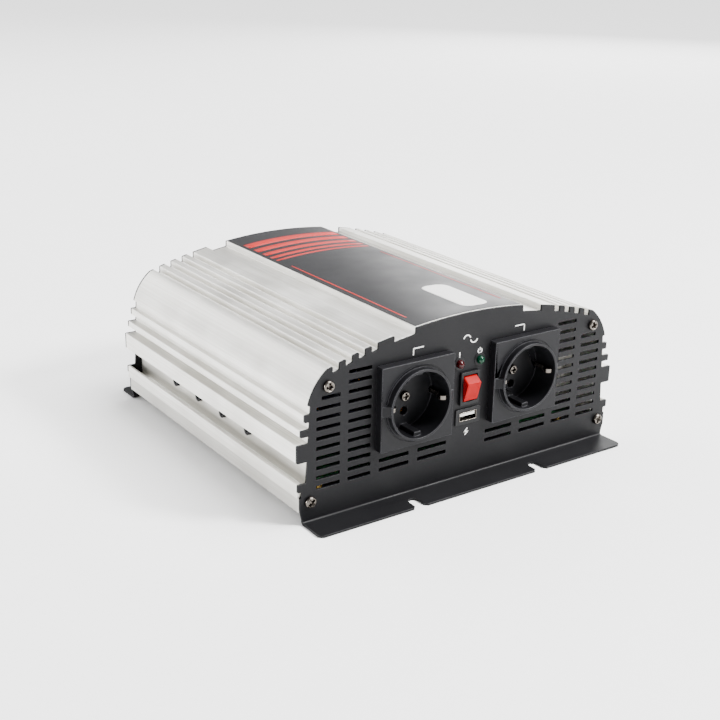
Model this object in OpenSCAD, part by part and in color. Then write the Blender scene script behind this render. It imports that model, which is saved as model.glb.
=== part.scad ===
// Mains power inverter: finned aluminium casing between two folded sheet end plates,
// with two earthed outlets, a rocker switch, lamps and a charging port in front,
// and a fan and two screw terminals behind. Millimetres, front towards -Y, floor at z = 0.

/* [Casing] */
// Length of the aluminium extrusions
body_len = 221; // [200:1:260]
// Width over the widest side fins
body_w = 239; // [228:1:270]
// Height of the crown above the floor
body_h = 106; // [103:1:120]
// Radius of the crown across the body
crown_r = 322; // [280:2:420]
// Wall of the upper shell under its grooves
shell_t = 2.6; // [2:0.1:3.2]
// Half width of the raised label panel
panel_half_w = 40.2; // [34:0.2:42]
// Depth of the grooves in the crown
groove_d = 3.8; // [2:0.1:4.6]
// Width of the broad groove beside the label panel
broad_groove_w = 15; // [11:0.5:17]
// Width of the broad land beside the broad groove
broad_land_w = 11; // [8:0.5:12]
// Width of a narrow groove
groove_w = 4.4; // [3:0.1:5]
// Width of a narrow land
land_w = 4.2; // [3:0.1:5]
// Radius of the shoulders
shoulder_r = 35.5; // [32:0.5:38]
// Reach of the widest side fins past the wall
fin_reach = 5.5; // [4:0.1:7]
// Spread of the side walls from the shoulder down to the seam
wall_spread = 3.5; // [1:0.1:5]
// Height of the seam between the upper shell and the base tray
seam_z = 17; // [15:0.5:19]
// Height of the base tray's underside above the floor
tray_z = 7.5; // [5:0.5:9]
// Thickness of the base tray's floor
tray_t = 2.5; // [2:0.1:4]
// Width of the base tray's hollow-drilled side rails
rail_w = 11; // [9:0.5:13]
// Inner face of the heat rail, measured in from the widest side fins
heat_rail_in = 16.5; // [15:0.5:19]
// Depth of the screw recess along each side, measured in from the widest side fins
recess_d = 10.8; // [8:0.1:11.5]
// Length by which the heat rails are milled away at both ends
rail_relief = 30; // [10:1:34]
// Thickness of the printed label film
label_t = 0.25; // [0.1:0.05:0.5]
// Bare margin at each end of the label film
label_margin = 0.8; // [0.2:0.1:10]

/* [End plates] */
// Sheet thickness of the end plates
plate_t = 1.5; // [1:0.1:2.5]
// Reach of the mounting flange from the plate's outer face
flange_d = 18.8; // [17.5:0.1:28]
// Inside radius of the bend between plate and flange
bend_r = 1.2; // [0.6:0.1:2.5]
// Corner radius of the flange
flange_corner_r = 3.5; // [2:0.5:10]
// Half spacing of the two mounting slots
slot_x = 46.5; // [35:0.5:80]
// Width of a mounting slot
slot_w = 6.4; // [4.5:0.1:8]
// Distance of a slot's inner end from the plate
slot_end = 8; // [5:0.5:10]
// Flare of a slot's mouth on each side
slot_flare = 2; // [0.5:0.1:3]
// Height of a vent slot
vent_h = 2.4; // [1.5:0.1:3]
// Spacing of the vent slots
vent_pitch = 5.9; // [4.5:0.1:8]
// Vents in each outer column
outer_vents = 10; // [4:1:11]
// Vents in each inner column
inner_vents = 12; // [4:1:12]
// Length of a vent in the side columns
vent_len = 15.8; // [10:0.2:16.5]
// Length of a vent under the outlets
low_vent_len = 21.4; // [12:0.2:24]
// Diameter of the casing screws' shank
case_screw_d = 3; // [2.5:0.1:4]
// Diameter of the casing screws' head
case_head_d = 7; // [5.5:0.1:8]

/* [Outlets] */
// Half spacing of the two outlets
socket_x = 41.3; // [38:0.1:46]
// Height of the outlets and of the switch above the floor
socket_z = 59.7; // [56:0.1:64]
// Width of the outlet's square face
socket_face = 51.6; // [50:0.2:53]
// Stand of the square face off the plate
face_proud = 5.5; // [4:0.1:8]
// Stand of the collar's rim off the plate
rim_proud = 9.3; // [8:0.1:11]
// Diameter of the plug well
well_d = 40.2; // [39:0.1:41]
// Depth of the plug well from its rim
well_depth = 17.4; // [16.5:0.1:19]
// Wall of the collar and of the barrel behind the plate
collar_t = 1.5; // [1.2:0.1:2]
// Thickness of the well's floor
floor_t = 4.5; // [3:0.1:6]
// Spacing of the two pin holes
pin_pitch = 19; // [18:0.1:20]
// Diameter of a pin hole
pin_hole_d = 5.5; // [5:0.1:6]
// Length of the insulating base behind the well
base_len = 13.5; // [11:0.5:18]
// Width of the earth strap
strap_w = 6; // [4:0.5:8]
// Thickness of the earth strap
strap_t = 1; // [0.6:0.1:1.4]

/* [Controls] */
// Width of the rocker switch's bezel
bezel_w = 14.2; // [13.6:0.1:17]
// Height of the rocker switch's bezel
bezel_h = 21; // [20.6:0.1:24]
// Stand of the bezel off the plate
bezel_proud = 2; // [1:0.1:2.6]
// Width of the rocker
rocker_w = 10; // [8:0.1:10.2]
// Tilt of the rocker to each side of its middle
rocker_tilt = 16; // [8:1:17]
// Diameter of the rocker's pivot pins
pivot_d = 2; // [1.4:0.1:2.4]
// Half spacing of the two lamps
lamp_x = 7.7; // [6:0.1:10]
// Height of the lamps above the switch's middle
lamp_rise = 16.2; // [15:0.1:18]
// Diameter of a lamp
lamp_d = 5; // [3:0.1:5.4]
// Depth of the charging port below the switch's middle
port_drop = 18.2; // [17.4:0.1:21]
// Width of the charging port's metal shell
port_w = 13.1; // [12.5:0.1:14]
// Height of the charging port's metal shell
port_h = 5.7; // [5.2:0.1:6.2]
// Width of the charging port's bezel
port_bezel_w = 18.4; // [17:0.1:20]
// Height of the charging port's bezel
port_bezel_h = 10.2; // [10:0.1:11]

/* [Rear] */
// Width of the fan
fan_w = 60; // [50:1:64]
// Depth of the fan
fan_d = 25; // [15:1:30]
// Height of the fan and of the terminals above the floor
fan_z = 58; // [54:1:62]
// Blades on the fan
fan_blades = 7; // [5:1:9]
// Wire diameter of the fan guard
wire_d = 2; // [1.5:0.1:2.4]
// Half spacing of the two terminals
terminal_x = 76; // [64:1:84]
// Diameter of a terminal post
post_d = 8; // [6:0.5:8]
// Diameter of a terminal knob
knob_d = 19; // [17:0.5:24]
// Length of a terminal knob
knob_len = 11; // [8:0.5:11.5]

/* [Inside] */
// Height of the circuit board's standoffs
standoff_h = 6; // [4:0.5:8]
// Thickness of the circuit boards
board_t = 1.6; // [1:0.1:2.4]
// Power transistors in each gap between clamp screws
transistors_per_gap = 2; // [1:1:2]
// Clamp screws along each side
clamp_screws_n = 4; // [3:1:5]
// Spacing of the clamp screws
clamp_pitch = 31.5; // [27:0.5:36]
// Width of a transformer core
core_w = 52; // [44:1:54]
// Depth of a transformer core
core_d = 20; // [16:1:24]
// Height of a transformer core
core_h = 46; // [38:1:50]
// Diameter of an input capacitor
cap_d = 18; // [12:1:20]
// Height of an input capacitor
cap_h = 36; // [20:1:40]

/* [Fits] */
// Clearance round parts that are assembled by hand
fit_gap = 0.2; // [0.1:0.05:0.4]
// Radial clearance of a pin that turns in its hole
run_gap = 0.05; // [0.02:0.01:0.08]
// Gap between faces that move past each other
move_gap = 0.3; // [0.2:0.05:0.5]
// Gap at a face that rests on another
seat_gap = 0.1; // [0.05:0.05:0.2]

/* [Hidden] */
$fn = 48;

// Casing section
half_w = body_w / 2;
end_y = body_len / 2;
face_y = end_y + plate_t;
wall_x = half_w - fin_reach;
shoulder_in = 41.5;
shoulder_drop = 44;
shoulder_rise = 9.2;
shoulder_cx = half_w - shoulder_in;
shoulder_cz = body_h - shoulder_drop;
shoulder_low_z = shoulder_cz + shoulder_rise;
rail_step = 1.9;
rail_half_w = half_w - rail_step;
rail_in = rail_half_w - rail_w;
land_end_x = panel_half_w + broad_groove_w + broad_land_w;
groove_pitch = groove_w + land_w;
groove_reach = 20;
groove_n = round((shoulder_cx + groove_reach - land_end_x) / groove_pitch);
// Side fins: lower edge, upper edge, how far the tip stays behind the widest fin
side_fins = [[20.7, 25.5, 0.5], [38.4, 49.2, 0], [53.4, 57.6, 2.5], [61.8, 66.3, 5]];
heat_rail_x = half_w - heat_rail_in;
heat_rail_z = [seam_z, 50];
recess_x = half_w - recess_d;
recess_z = [side_fins[0][1], side_fins[1][0]];
recess_t = 2;
lip_t = 2;
lip_x = half_w - side_fins[0][2] - lip_t;
lip_floor_z = seam_z + 1.5;
channel_r = 5;
channel_out = 21.5;
channel_rise = 18.6;
channel_at = [shoulder_cx + channel_out, shoulder_cz + channel_rise];
rail_screw_in = 6.6;
rail_screw_rise = 1.4;
rail_screw_at = [rail_half_w - rail_screw_in, (tray_z + seam_z) / 2 + rail_screw_rise];
thread_gap = 0.1;
screw_bore_r = case_screw_d / 2 + thread_gap;
screw_len = 12;
case_head_h = 2.2;
foot_h = side_fins[0][0] - seam_z;
foot_step = 1.2;
tongue_w = 2.7;
tongue_d = 5;
tongue_x = rail_in - fit_gap - tongue_w;

// End plates
flange_step = 1.6;
flange_half_w = rail_half_w - flange_step;
bend_z = plate_t + bend_r;
outer_vent_out = 13.1;
inner_vent_gap = 2.9;
column_drop = 85;
low_vent_drop = 12.9;
low_vent_in = 26.3;
low_vent_out = 1.4;
vent_outer_x = shoulder_cx + outer_vent_out;
vent_inner_x = socket_x + socket_face / 2 + inner_vent_gap;
// The side columns keep their place under the shoulders, the low vents theirs under the outlets
column_z = body_h - column_drop;
low_vent_z = socket_z - socket_face / 2 - low_vent_drop;
low_vent_x = [socket_x - low_vent_in, socket_x + low_vent_out];
top_vent_cut = 3.4;

// Outlets
rim_r = well_d / 2 + collar_t;
ring_w = 1.6;
ring_d = 0.5;
ramp_w = 6.2;
ramp_drop = 0.6;
ramp_margin = 0.4;
well_floor_y = well_depth - rim_proud;
barrel_end_y = well_floor_y + floor_t;
base_end_y = barrel_end_y + base_len;
base_step = 1;
base_r = rim_r - base_step;
strap_in = 1.2;
strap_x = well_d / 2 - strap_in;
strap_slot = 2;
clip_w = strap_w / 2;
clip_r = 3;
clip_set = 5;
clip_sink = 0.2;
clip_side = 0.2;
sleeve_t = 0.6;
sleeve_r = pin_hole_d / 2 + sleeve_t;
sleeve_grip = 0.15;
sleeve_floor = 2;
sleeve_tail = 3;
guide_w = 5;
guide_h = 2.6;
guide_start = 3.5;
socket_screw_r = 1.5;
socket_screw_short = 3;
socket_head_r = 3.1;
socket_head_h = 2;

// Switch
switch_drop = 0.5;
switch_z = socket_z - switch_drop;
pivot_y = 1.5;
pivot_r = pivot_d / 2;
cap_front = 6.3;
cap_front_half = 6.2;
cap_side = 1.3;
cap_side_half = 8.1;
cap_back = 3;
cap_back_half = 2;
switch_wall = 1.2;
switch_open_w = rocker_w + 2 * move_gap;
switch_open_h = 2 * norm([cap_side, cap_side_half]) + 2 * move_gap;
switch_body_w = switch_open_w + 2 * switch_wall;
switch_body_h = switch_open_h + 2 * switch_wall;
switch_cavity_y = 11;
switch_depth = 15;
tab_w = 4.8;
tab_t = 0.8;
tab_l = 8;
tab_pitch = 6;

// Lamps and charging port
lamp_r = lamp_d / 2;
lamp_z = switch_z + lamp_rise;
lamp_leg_y = 8;
lamp_leg_x = 1.27;
lamp_leg_w = 0.5;
lamp_board_y = 19;
lamp_board_side = 5;
lamp_board_h = 12;
lamp_proud = 1;
holder_t = 0.9;
holder_r = lamp_r + holder_t;
holder_lip = 0.6;
holder_lip_t = 0.5;
port_z = switch_z - port_drop;
port_len = 14;
port_proud = 1;
port_rim = 0.2;
port_skin = 0.4;
port_board_t = 1;
port_wall = 0.8;
port_open_w = port_w + 2 * fit_gap;
port_open_top = port_z + port_h / 2 + fit_gap;
port_board_z = port_z - port_h / 2 - port_board_t;
port_sleeve_w = port_open_w + 2 * port_wall;
port_sleeve_z = port_board_z - port_wall;
port_sleeve_h = port_open_top + port_wall - port_sleeve_z;
port_sleeve_len = 16;
port_board_start = 2;
port_board_tail = 16;
tongue_side = 1;
tongue_start = -0.4;
tongue_low = 0.2;
tongue_gap = 0.5;
tongue_root = 3;

// Boards
tray_top = tray_z + tray_t;
board_z = tray_top + standoff_h;
board_top = board_z + board_t;
board_side_gap = 2;
board_end_gap = 10;
board_half_w = rail_in - tongue_w - board_side_gap;
board_half_l = end_y - board_end_gap;
board_screw_r = 1.5;
board_head_r = 2.8;
board_head_h = 1.8;
part_gap = 2;
bar_foot = 12;
standoff_in = 8;
standoff_r = 3.4;
standoff_floor = 0.5;
standoff_x = board_half_w - standoff_in;
// The rear screws stand clear of the busbars' feet, and the fuses clear of the rear screws
rear_standoff_y = board_half_l - bar_foot - part_gap - board_head_r;
standoff_ys = [-board_half_l + standoff_in, 0, rear_standoff_y];
fuse_in = 27.9;
fuse_n = 3;
fuse_pitch = 11;
fuse_w = 21;
fuse_d = 8;
fuse_holder_h = 12;
fuse_wall = 0.9;
fuse_slot_w = 4;
fuse_floor = 3;
fuse_h = 7.9;
fuse_t = 3.8;
fuse_end_gap = 1;
blade_x = 6;
blade_w = 5.2;
blade_t = 0.8;
fuse_x = board_half_w - fuse_in;
fuse_last_y = rear_standoff_y - board_head_r - part_gap - fuse_d / 2;
bus_cap_d = 25;
bus_cap_h = 35;
choke_r = 13;
choke_w = 11;
choke_h = 14;
choke_round = 3;
front_part_out = 8;
bus_cap_ahead = 22;
choke_ahead = 24;
can_step = 1;
can_lip = 1;
bus_can_lip = 1.5;
cap_gap = 3;
cap_fan_gap = 6;
control_w = 60;
control_h = 33;
control_lift = 3;
control_in = 34;
header_w = 48;
header_d = 2.5;
header_h = 6;
clamp_z = 30.6;
clamp_end = 8;
clamp_row = (clamp_screws_n - 1) * clamp_pitch;
clamp_shift = 7;
clamp_low_y = min(clamp_shift, end_y - rail_relief - clamp_end - clamp_row / 2) - clamp_row / 2;
clamp_ys = [for (i = [0 : clamp_screws_n - 1]) clamp_low_y + i * clamp_pitch];
clamp_bar_y = [clamp_low_y - clamp_end, clamp_low_y + clamp_row + clamp_end];
pad_t = 0.5;
transistor_w = 10;
transistor_t = 4.5;
transistor_gap = 1.5;
transistor_low_z = 26;
transistor_h = 16;
leg_pitch = 2.54;
leg_w = 0.8;
leg_t = 0.6;
leg_back = 2;
clamp_t = 4;
clamp_h = 10;
pad_margin = 1;
clamp_bar_x = heat_rail_x - pad_t - transistor_t;
clamp_screw_r = 1.5;
clamp_head_r = 3.2;
clamp_head_h = 2;
transformer_gap = 16;
transformer_x = (core_w + transformer_gap) / 2;
transformer_y = 6;
bobbin_t = 4;
bobbin_lip = 6;
coil_t = 8;
yoke_t = 8;

// Rear
fan_rim_t = 1.5;
fan_bore_r = fan_w / 2 - fan_rim_t;
fan_hole = fan_w * 5 / 6;
fan_hub_r = 15.5;
fan_tip_gap = 0.8;
fan_tip_r = fan_bore_r - fan_tip_gap;
fan_shaft_r = 1.5;
fan_shaft_l = 11;
fan_arm_w = 4;
fan_corner_r = 4;
fan_front_gap = 3;
fan_back_gap = 0.6;
fan_hub_skin = 4;
blade_end = 1;
fan_blade_t = 1.6;
fan_pitch_a = 42;
fan_screw_r = 2;
fan_head_r = 3.9;
fan_head_h = 2;
fan_screw_short = 4;
fan_back = 3;
post_r = post_d / 2;
bush_lip = 1;
bush_sleeve_t = 2;
bush_r = knob_d / 2 + bush_lip;
bush_sleeve_r = post_r + bush_sleeve_t;
bush_t = 3;
bar_in = 2.5;
bar_w = 2 * (bush_r - bar_in);
bar_t = 2;
post_head_step = 3.5;
post_head_h = 5;
washer_t = 1.2;
washer_in = 0.5;
post_tip = 1.2;
knob_ribs = 18;
rib_r = 0.9;
rib_out = 0.3;
rib_base = 2.5;
post_out = bush_t + washer_t + knob_len + post_tip;
inner_washer_t = 2;
bar_y = plate_t + inner_washer_t + bar_t;
earth_x = 45;
earth_z = 24;
earth_r = 2;
earth_washer_t = 1;
earth_washer_r = 5;
earth_head_r = 4;
earth_head_h = 2.6;
earth_inside = 6;

// Helpers
module y_slab(y0, y1) {
    translate([0, y1, 0]) rotate([90, 0, 0]) linear_extrude(y1 - y0) children();
}

module y_rod(x, z, y0, y1, r) {
    translate([x, y0, z]) rotate([-90, 0, 0]) cylinder(r = r, h = y1 - y0);
}

module x_rod(x0, x1, y, z, r) {
    translate([x0, y, z]) rotate([0, 90, 0]) cylinder(r = r, h = x1 - x0);
}

module block(x0, x1, y0, y1, z0, z1) {
    translate([x0, y0, z0]) cube([x1 - x0, y1 - y0, z1 - z0]);
}

module both_sides() {
    children();
    mirror([1, 0, 0]) children();
}

// Puts a part on a plate: its local y = 0 is the plate's outer face, -y points outwards
module on_front() {
    translate([0, -face_y, 0]) children();
}

module on_rear() {
    rotate([0, 0, 180]) on_front() children();
}

module rounded_rect(w, h, r) {
    square([w - 2 * r, h], center = true);
    square([w, h - 2 * r], center = true);
    for (x = [-1, 1], y = [-1, 1])
        translate([x * (w / 2 - r), y * (h / 2 - r)]) circle(r);
}

module slot_2d(x0, x1, z, h) {
    translate([x0, z - h / 2]) square([x1 - x0, h]);
}

// Pan-head screw with a cross recess, its head's seat at y, pointing along +y
module pan_screw(x, z, y, head_r, head_h, shank_r, length) {
    recess_w = head_r * 0.3;
    recess_l = head_r * 1.3;
    recess_d = head_h * 0.6;
    difference() {
        y_rod(x, z, y - head_h, y, head_r);
        translate([x, y - head_h + recess_d / 2, z])
            for (a = [45, 135])
                rotate([0, a, 0]) cube([recess_l, recess_d + 0.02, recess_w], center = true);
    }
    y_rod(x, z, y, y + length, shank_r);
}

// Casing section in the x-z plane
function wall_at(z) = wall_x - wall_spread * (z - seam_z) / (shoulder_low_z - seam_z);

module crown_disc(r) {
    translate([0, body_h - crown_r]) circle(r, $fn = 720);
}

// Block between the two leaning side walls, from z0 up to z1
module between_walls_2d(inset, z0, z1) {
    low = wall_at(z0) - inset;
    high = wall_at(z1) - inset;
    polygon([[-low, z0], [low, z0], [high, z1], [-high, z1]]);
}

module shoulders_2d(r, low_z) {
    both_sides() intersection() {
        translate([shoulder_cx, shoulder_cz]) circle(r, $fn = 180);
        translate([0, low_z]) square([half_w, body_h - low_z]);
    }
}

module grooves_2d() {
    both_sides() difference() {
        union() {
            translate([panel_half_w, 0]) square([broad_groove_w, body_h]);
            for (i = [0 : groove_n - 1])
                translate([land_end_x + i * groove_pitch, 0]) square([groove_w, body_h]);
        }
        crown_disc(crown_r - groove_d);
    }
}

module body_2d() {
    foot_x = rail_half_w - foot_step;
    difference() {
        union() {
            intersection() {
                crown_disc(crown_r);
                union() {
                    translate([-shoulder_cx, shoulder_low_z])
                        square([2 * shoulder_cx, body_h - shoulder_low_z]);
                    shoulders_2d(shoulder_r, shoulder_low_z);
                }
            }
            between_walls_2d(0, seam_z, shoulder_low_z + 0.5);
            both_sides() {
                for (fin = side_fins)
                    translate([shoulder_cx, fin[0]])
                        square([half_w - fin[2] - shoulder_cx, fin[1] - fin[0]]);
                translate([shoulder_cx, seam_z]) square([foot_x - shoulder_cx, foot_h]);
            }
        }
        grooves_2d();
    }
}

module cavity_2d() {
    intersection() {
        crown_disc(crown_r - groove_d - shell_t);
        between_walls_2d(shell_t, seam_z - 1, body_h);
        union() {
            translate([-shoulder_cx, 0]) square([2 * shoulder_cx, body_h]);
            translate([-half_w, 0]) square([body_w, shoulder_cz]);
            shoulders_2d(shoulder_r - shell_t, shoulder_cz - 1);
        }
    }
}

// Outline of an end plate above its bend
module plate_2d() {
    body_2d();
    polygon([
        [-rail_half_w, seam_z + 0.1], [rail_half_w, seam_z + 0.1], [rail_half_w, tray_z + 2],
        [flange_half_w, bend_z], [-flange_half_w, bend_z], [-rail_half_w, tray_z + 2]
    ]);
}

// Casing
module rail_hollow_2d(s) {
    hollow_w = half_w - heat_rail_x + 1;
    kept_w = recess_d + recess_t;
    difference() {
        intersection() {
            cavity_2d();
            translate([s > 0 ? half_w - hollow_w : -half_w, heat_rail_z[0]])
                square([hollow_w, heat_rail_z[1] + 1 - heat_rail_z[0]]);
        }
        translate([s > 0 ? half_w - kept_w : -half_w, heat_rail_z[0]])
            square([kept_w, recess_z[1] + recess_t - heat_rail_z[0]]);
    }
    translate([s > 0 ? tongue_x - 1 : -rail_in, seam_z - tongue_d - 1])
        square([rail_in - tongue_x + 1, tongue_d + 2]);
}

module upper_shell() {
    tongue_mid_x = tongue_x + tongue_w / 2;
    color("silver") difference() {
        y_slab(-end_y, end_y) difference() {
            union() {
                difference() {
                    body_2d();
                    cavity_2d();
                }
                intersection() {
                    body_2d();
                    both_sides() {
                        translate(channel_at) circle(channel_r);
                        translate([heat_rail_x, heat_rail_z[0]])
                            square([half_w - heat_rail_x, heat_rail_z[1] - heat_rail_z[0]]);
                    }
                }
                for (s = [-1, 1]) {
                    translate([s * tongue_mid_x - tongue_w / 2, seam_z - tongue_d])
                        square([tongue_w, tongue_d + 1]);
                    translate([s > 0 ? lip_x : -lip_x - lip_t, seam_z])
                        square([lip_t, recess_z[0] - seam_z]);
                    translate([s > 0 ? recess_x : -lip_x - lip_t, seam_z])
                        square([lip_x + lip_t - recess_x, lip_floor_z - seam_z]);
                }
            }
            both_sides() {
                translate(channel_at) circle(screw_bore_r);
                translate([recess_x, recess_z[0]]) square([recess_d + 1, recess_z[1] - recess_z[0]]);
                translate([recess_x, lip_floor_z]) square([lip_x - recess_x, recess_z[0] + 1 - lip_floor_z]);
            }
        }
        both_sides() for (y = clamp_ys)
            x_rod(heat_rail_x - 1, half_w, y, clamp_z, clamp_screw_r + fit_gap);
        for (s = [-1, 1]) {
            y_slab(-end_y - 1, -end_y + rail_relief) rail_hollow_2d(s);
            y_slab(end_y - rail_relief, end_y + 1) rail_hollow_2d(s);
        }
    }
}

module base_tray() {
    color("gainsboro") y_slab(-end_y, end_y) difference() {
        polygon([
            [-rail_half_w, tray_z], [rail_half_w, tray_z], [rail_half_w, seam_z], [rail_in, seam_z],
            [rail_in, tray_top], [-rail_in, tray_top], [-rail_in, seam_z], [-rail_half_w, seam_z]
        ]);
        both_sides() translate(rail_screw_at) circle(screw_bore_r);
    }
}

module top_label() {
    film_half_w = panel_half_w - 0.8;
    color("dimgray") y_slab(-end_y + label_margin, end_y - label_margin) intersection() {
        difference() {
            crown_disc(crown_r + label_t);
            crown_disc(crown_r);
        }
        translate([-film_half_w, body_h / 2]) square([2 * film_half_w, body_h]);
    }
}

// End plates
module flange_slot(x) {
    mouth = slot_w / 2 + slot_flare;
    y_end = -slot_end - slot_w / 2;
    translate([x, 0, -1]) linear_extrude(plate_t + 2) {
        translate([0, y_end]) circle(d = slot_w);
        translate([-slot_w / 2, -flange_d - 1]) square([slot_w, flange_d + 1 + y_end]);
        polygon([
            [-mouth, -flange_d - 0.01], [mouth, -flange_d - 0.01],
            [slot_w / 2, -flange_d + slot_flare], [-slot_w / 2, -flange_d + slot_flare]
        ]);
    }
}

// Sheet with its bend and flange, and the holes of the casing screws
module folded_plate() {
    bend_out = bend_r + plate_t;
    difference() {
        union() {
            y_slab(0, plate_t) difference() {
                plate_2d();
                both_sides() {
                    translate(channel_at) circle(case_screw_d / 2 + fit_gap);
                    translate(rail_screw_at) circle(case_screw_d / 2 + fit_gap);
                }
                children();
            }
            intersection() {
                difference() {
                    x_rod(-flange_half_w, flange_half_w, -bend_r, bend_z, bend_out);
                    x_rod(-half_w, half_w, -bend_r, bend_z, bend_r);
                }
                block(-half_w, half_w, -bend_r, plate_t, 0, bend_z);
            }
            linear_extrude(plate_t) {
                translate([-flange_half_w, -flange_d + flange_corner_r])
                    square([2 * flange_half_w, flange_d - flange_corner_r - bend_r]);
                translate([-flange_half_w + flange_corner_r, -flange_d])
                    square([2 * (flange_half_w - flange_corner_r), flange_d - bend_r]);
                both_sides() translate([flange_half_w - flange_corner_r, -flange_d + flange_corner_r])
                    circle(flange_corner_r);
            }
        }
        for (s = [-1, 1])
            flange_slot(s * slot_x);
    }
}

module front_vents_2d() {
    both_sides() {
        for (i = [0 : outer_vents - 1]) {
            cut = i == outer_vents - 1 ? top_vent_cut : 0;
            slot_2d(vent_outer_x, vent_outer_x + vent_len - cut, column_z + i * vent_pitch, vent_h);
        }
        for (i = [0 : inner_vents - 1])
            slot_2d(vent_inner_x, vent_inner_x + vent_len, column_z + i * vent_pitch, vent_h);
        for (x = low_vent_x, i = [0, 1])
            slot_2d(x, x + low_vent_len, low_vent_z + i * vent_pitch, vent_h);
    }
}

module front_plate() {
    color("#3d3d40") on_front() folded_plate() {
        front_vents_2d();
        both_sides() translate([socket_x, socket_z]) circle(rim_r + fit_gap);
        translate([0, switch_z])
            square([switch_body_w + 2 * fit_gap, switch_body_h + 2 * fit_gap], center = true);
        translate([-port_sleeve_w / 2 - fit_gap, port_sleeve_z - fit_gap])
            square([port_sleeve_w + 2 * fit_gap, port_sleeve_h + 2 * fit_gap]);
        both_sides() translate([lamp_x, lamp_z]) circle(holder_r + fit_gap);
    }
}

module rear_plate() {
    color("#3d3d40") on_rear() folded_plate() {
        translate([0, fan_z]) circle(fan_bore_r);
        for (x = [-1, 1], z = [-1, 1])
            translate([x * fan_hole / 2, fan_z + z * fan_hole / 2]) circle(fan_screw_r + fit_gap);
        both_sides() translate([terminal_x, fan_z]) circle(bush_sleeve_r + fit_gap);
        translate([-earth_x, earth_z]) circle(earth_r + fit_gap);
    }
}

module casing_screws() {
    for (s = [-1, 1], at = [channel_at, rail_screw_at])
        pan_screw(s * at[0], at[1], 0, case_head_d / 2, case_head_h, case_screw_d / 2, screw_len);
}

module plate_screws() {
    color("lightsteelblue") {
        on_front() casing_screws();
        on_rear() casing_screws();
    }
}

module clamp_screws() {
    color("#2b2b2b") both_sides() for (y = clamp_ys) {
        difference() {
            x_rod(recess_x, recess_x + clamp_head_h, y, clamp_z, clamp_head_r);
            x_rod(recess_x + clamp_head_h / 2, half_w, y, clamp_z, clamp_head_r / 2, $fn = 6);
        }
        x_rod(clamp_bar_x - clamp_t, recess_x, y, clamp_z, clamp_screw_r);
    }
}

// Outlets, drawn about the middle of the well
module collar_ramp(s) {
    foot_y = -face_proud + 1;
    translate([0, 0, -ramp_w / 2]) linear_extrude(ramp_w) polygon([
        [s * (rim_r - 0.5), -rim_proud + ramp_drop], [s * (socket_face / 2 - ramp_margin), -face_proud],
        [s * (socket_face / 2 - ramp_margin), foot_y], [s * (rim_r - 0.5), foot_y]
    ]);
}

module socket_cover() {
    difference() {
        union() {
            difference() {
                block(-socket_face / 2, socket_face / 2, -face_proud, 0, -socket_face / 2, socket_face / 2);
                y_rod(0, 0, -face_proud - 1, -face_proud + ring_d, rim_r + ring_w);
            }
            for (s = [-1, 1]) collar_ramp(s);
            y_rod(0, 0, -rim_proud, barrel_end_y, rim_r);
        }
        y_rod(0, 0, -rim_proud - 1, well_floor_y, well_d / 2);
        for (s = [-1, 1]) {
            y_rod(0, s * pin_pitch / 2, well_floor_y - 1, barrel_end_y + 1, pin_hole_d / 2);
            translate([s * strap_x, 0, 0])
                block(-strap_slot / 2, strap_slot / 2, well_floor_y - 1, barrel_end_y + 1,
                    -clip_w / 2 - fit_gap, clip_w / 2 + fit_gap);
        }
        y_rod(0, 0, well_floor_y - 1, barrel_end_y + 1, socket_screw_r + fit_gap);
    }
    for (s = [-1, 1])
        intersection() {
            block(-guide_w / 2, guide_w / 2, -rim_proud + guide_start, well_floor_y + 0.5,
                s * well_d / 2 - guide_h, s * well_d / 2 + guide_h);
            y_rod(0, 0, -rim_proud, barrel_end_y, well_d / 2 + 0.5);
        }
}

module socket_base() {
    difference() {
        y_rod(0, 0, barrel_end_y, base_end_y, base_r);
        block(-base_r - 1, base_r + 1, barrel_end_y - 1, barrel_end_y + strap_t + fit_gap,
            -strap_w / 2 - fit_gap, strap_w / 2 + fit_gap);
        for (s = [-1, 1])
            y_rod(0, s * pin_pitch / 2, barrel_end_y - 1, base_end_y + 1, sleeve_r + run_gap);
        y_rod(0, 0, barrel_end_y, base_end_y - sleeve_floor, socket_screw_r + run_gap);
    }
}

module earth_strap() {
    arm_out = strap_x + strap_t / 2;
    difference() {
        block(-arm_out, arm_out, barrel_end_y, barrel_end_y + strap_t, -strap_w / 2, strap_w / 2);
        y_rod(0, 0, barrel_end_y - 1, barrel_end_y + 2, socket_screw_r + fit_gap);
    }
    both_sides() {
        block(arm_out - strap_t, arm_out, -rim_proud + clip_set, barrel_end_y + 0.1, -clip_w / 2, clip_w / 2);
        difference() {
            translate([arm_out - strap_t + clip_sink, -rim_proud + clip_set, clip_side - clip_w / 2])
                cylinder(r = clip_r, h = clip_w - 2 * clip_side);
            block(arm_out - 0.05, well_d, -rim_proud, well_floor_y, -strap_w, strap_w);
        }
    }
}

module pin_contacts() {
    for (s = [-1, 1])
        difference() {
            y_rod(0, s * pin_pitch / 2, barrel_end_y, base_end_y + sleeve_tail, sleeve_r);
            y_rod(0, s * pin_pitch / 2, barrel_end_y - 1, base_end_y - sleeve_floor,
                pin_hole_d / 2 - sleeve_grip);
        }
}

module socket_screw() {
    pan_screw(0, 0, well_floor_y, socket_head_r, socket_head_h, socket_screw_r,
        floor_t + base_len - socket_screw_short);
}

module at_socket(side) {
    on_front() translate([side * socket_x, 0, socket_z]) children();
}

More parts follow.
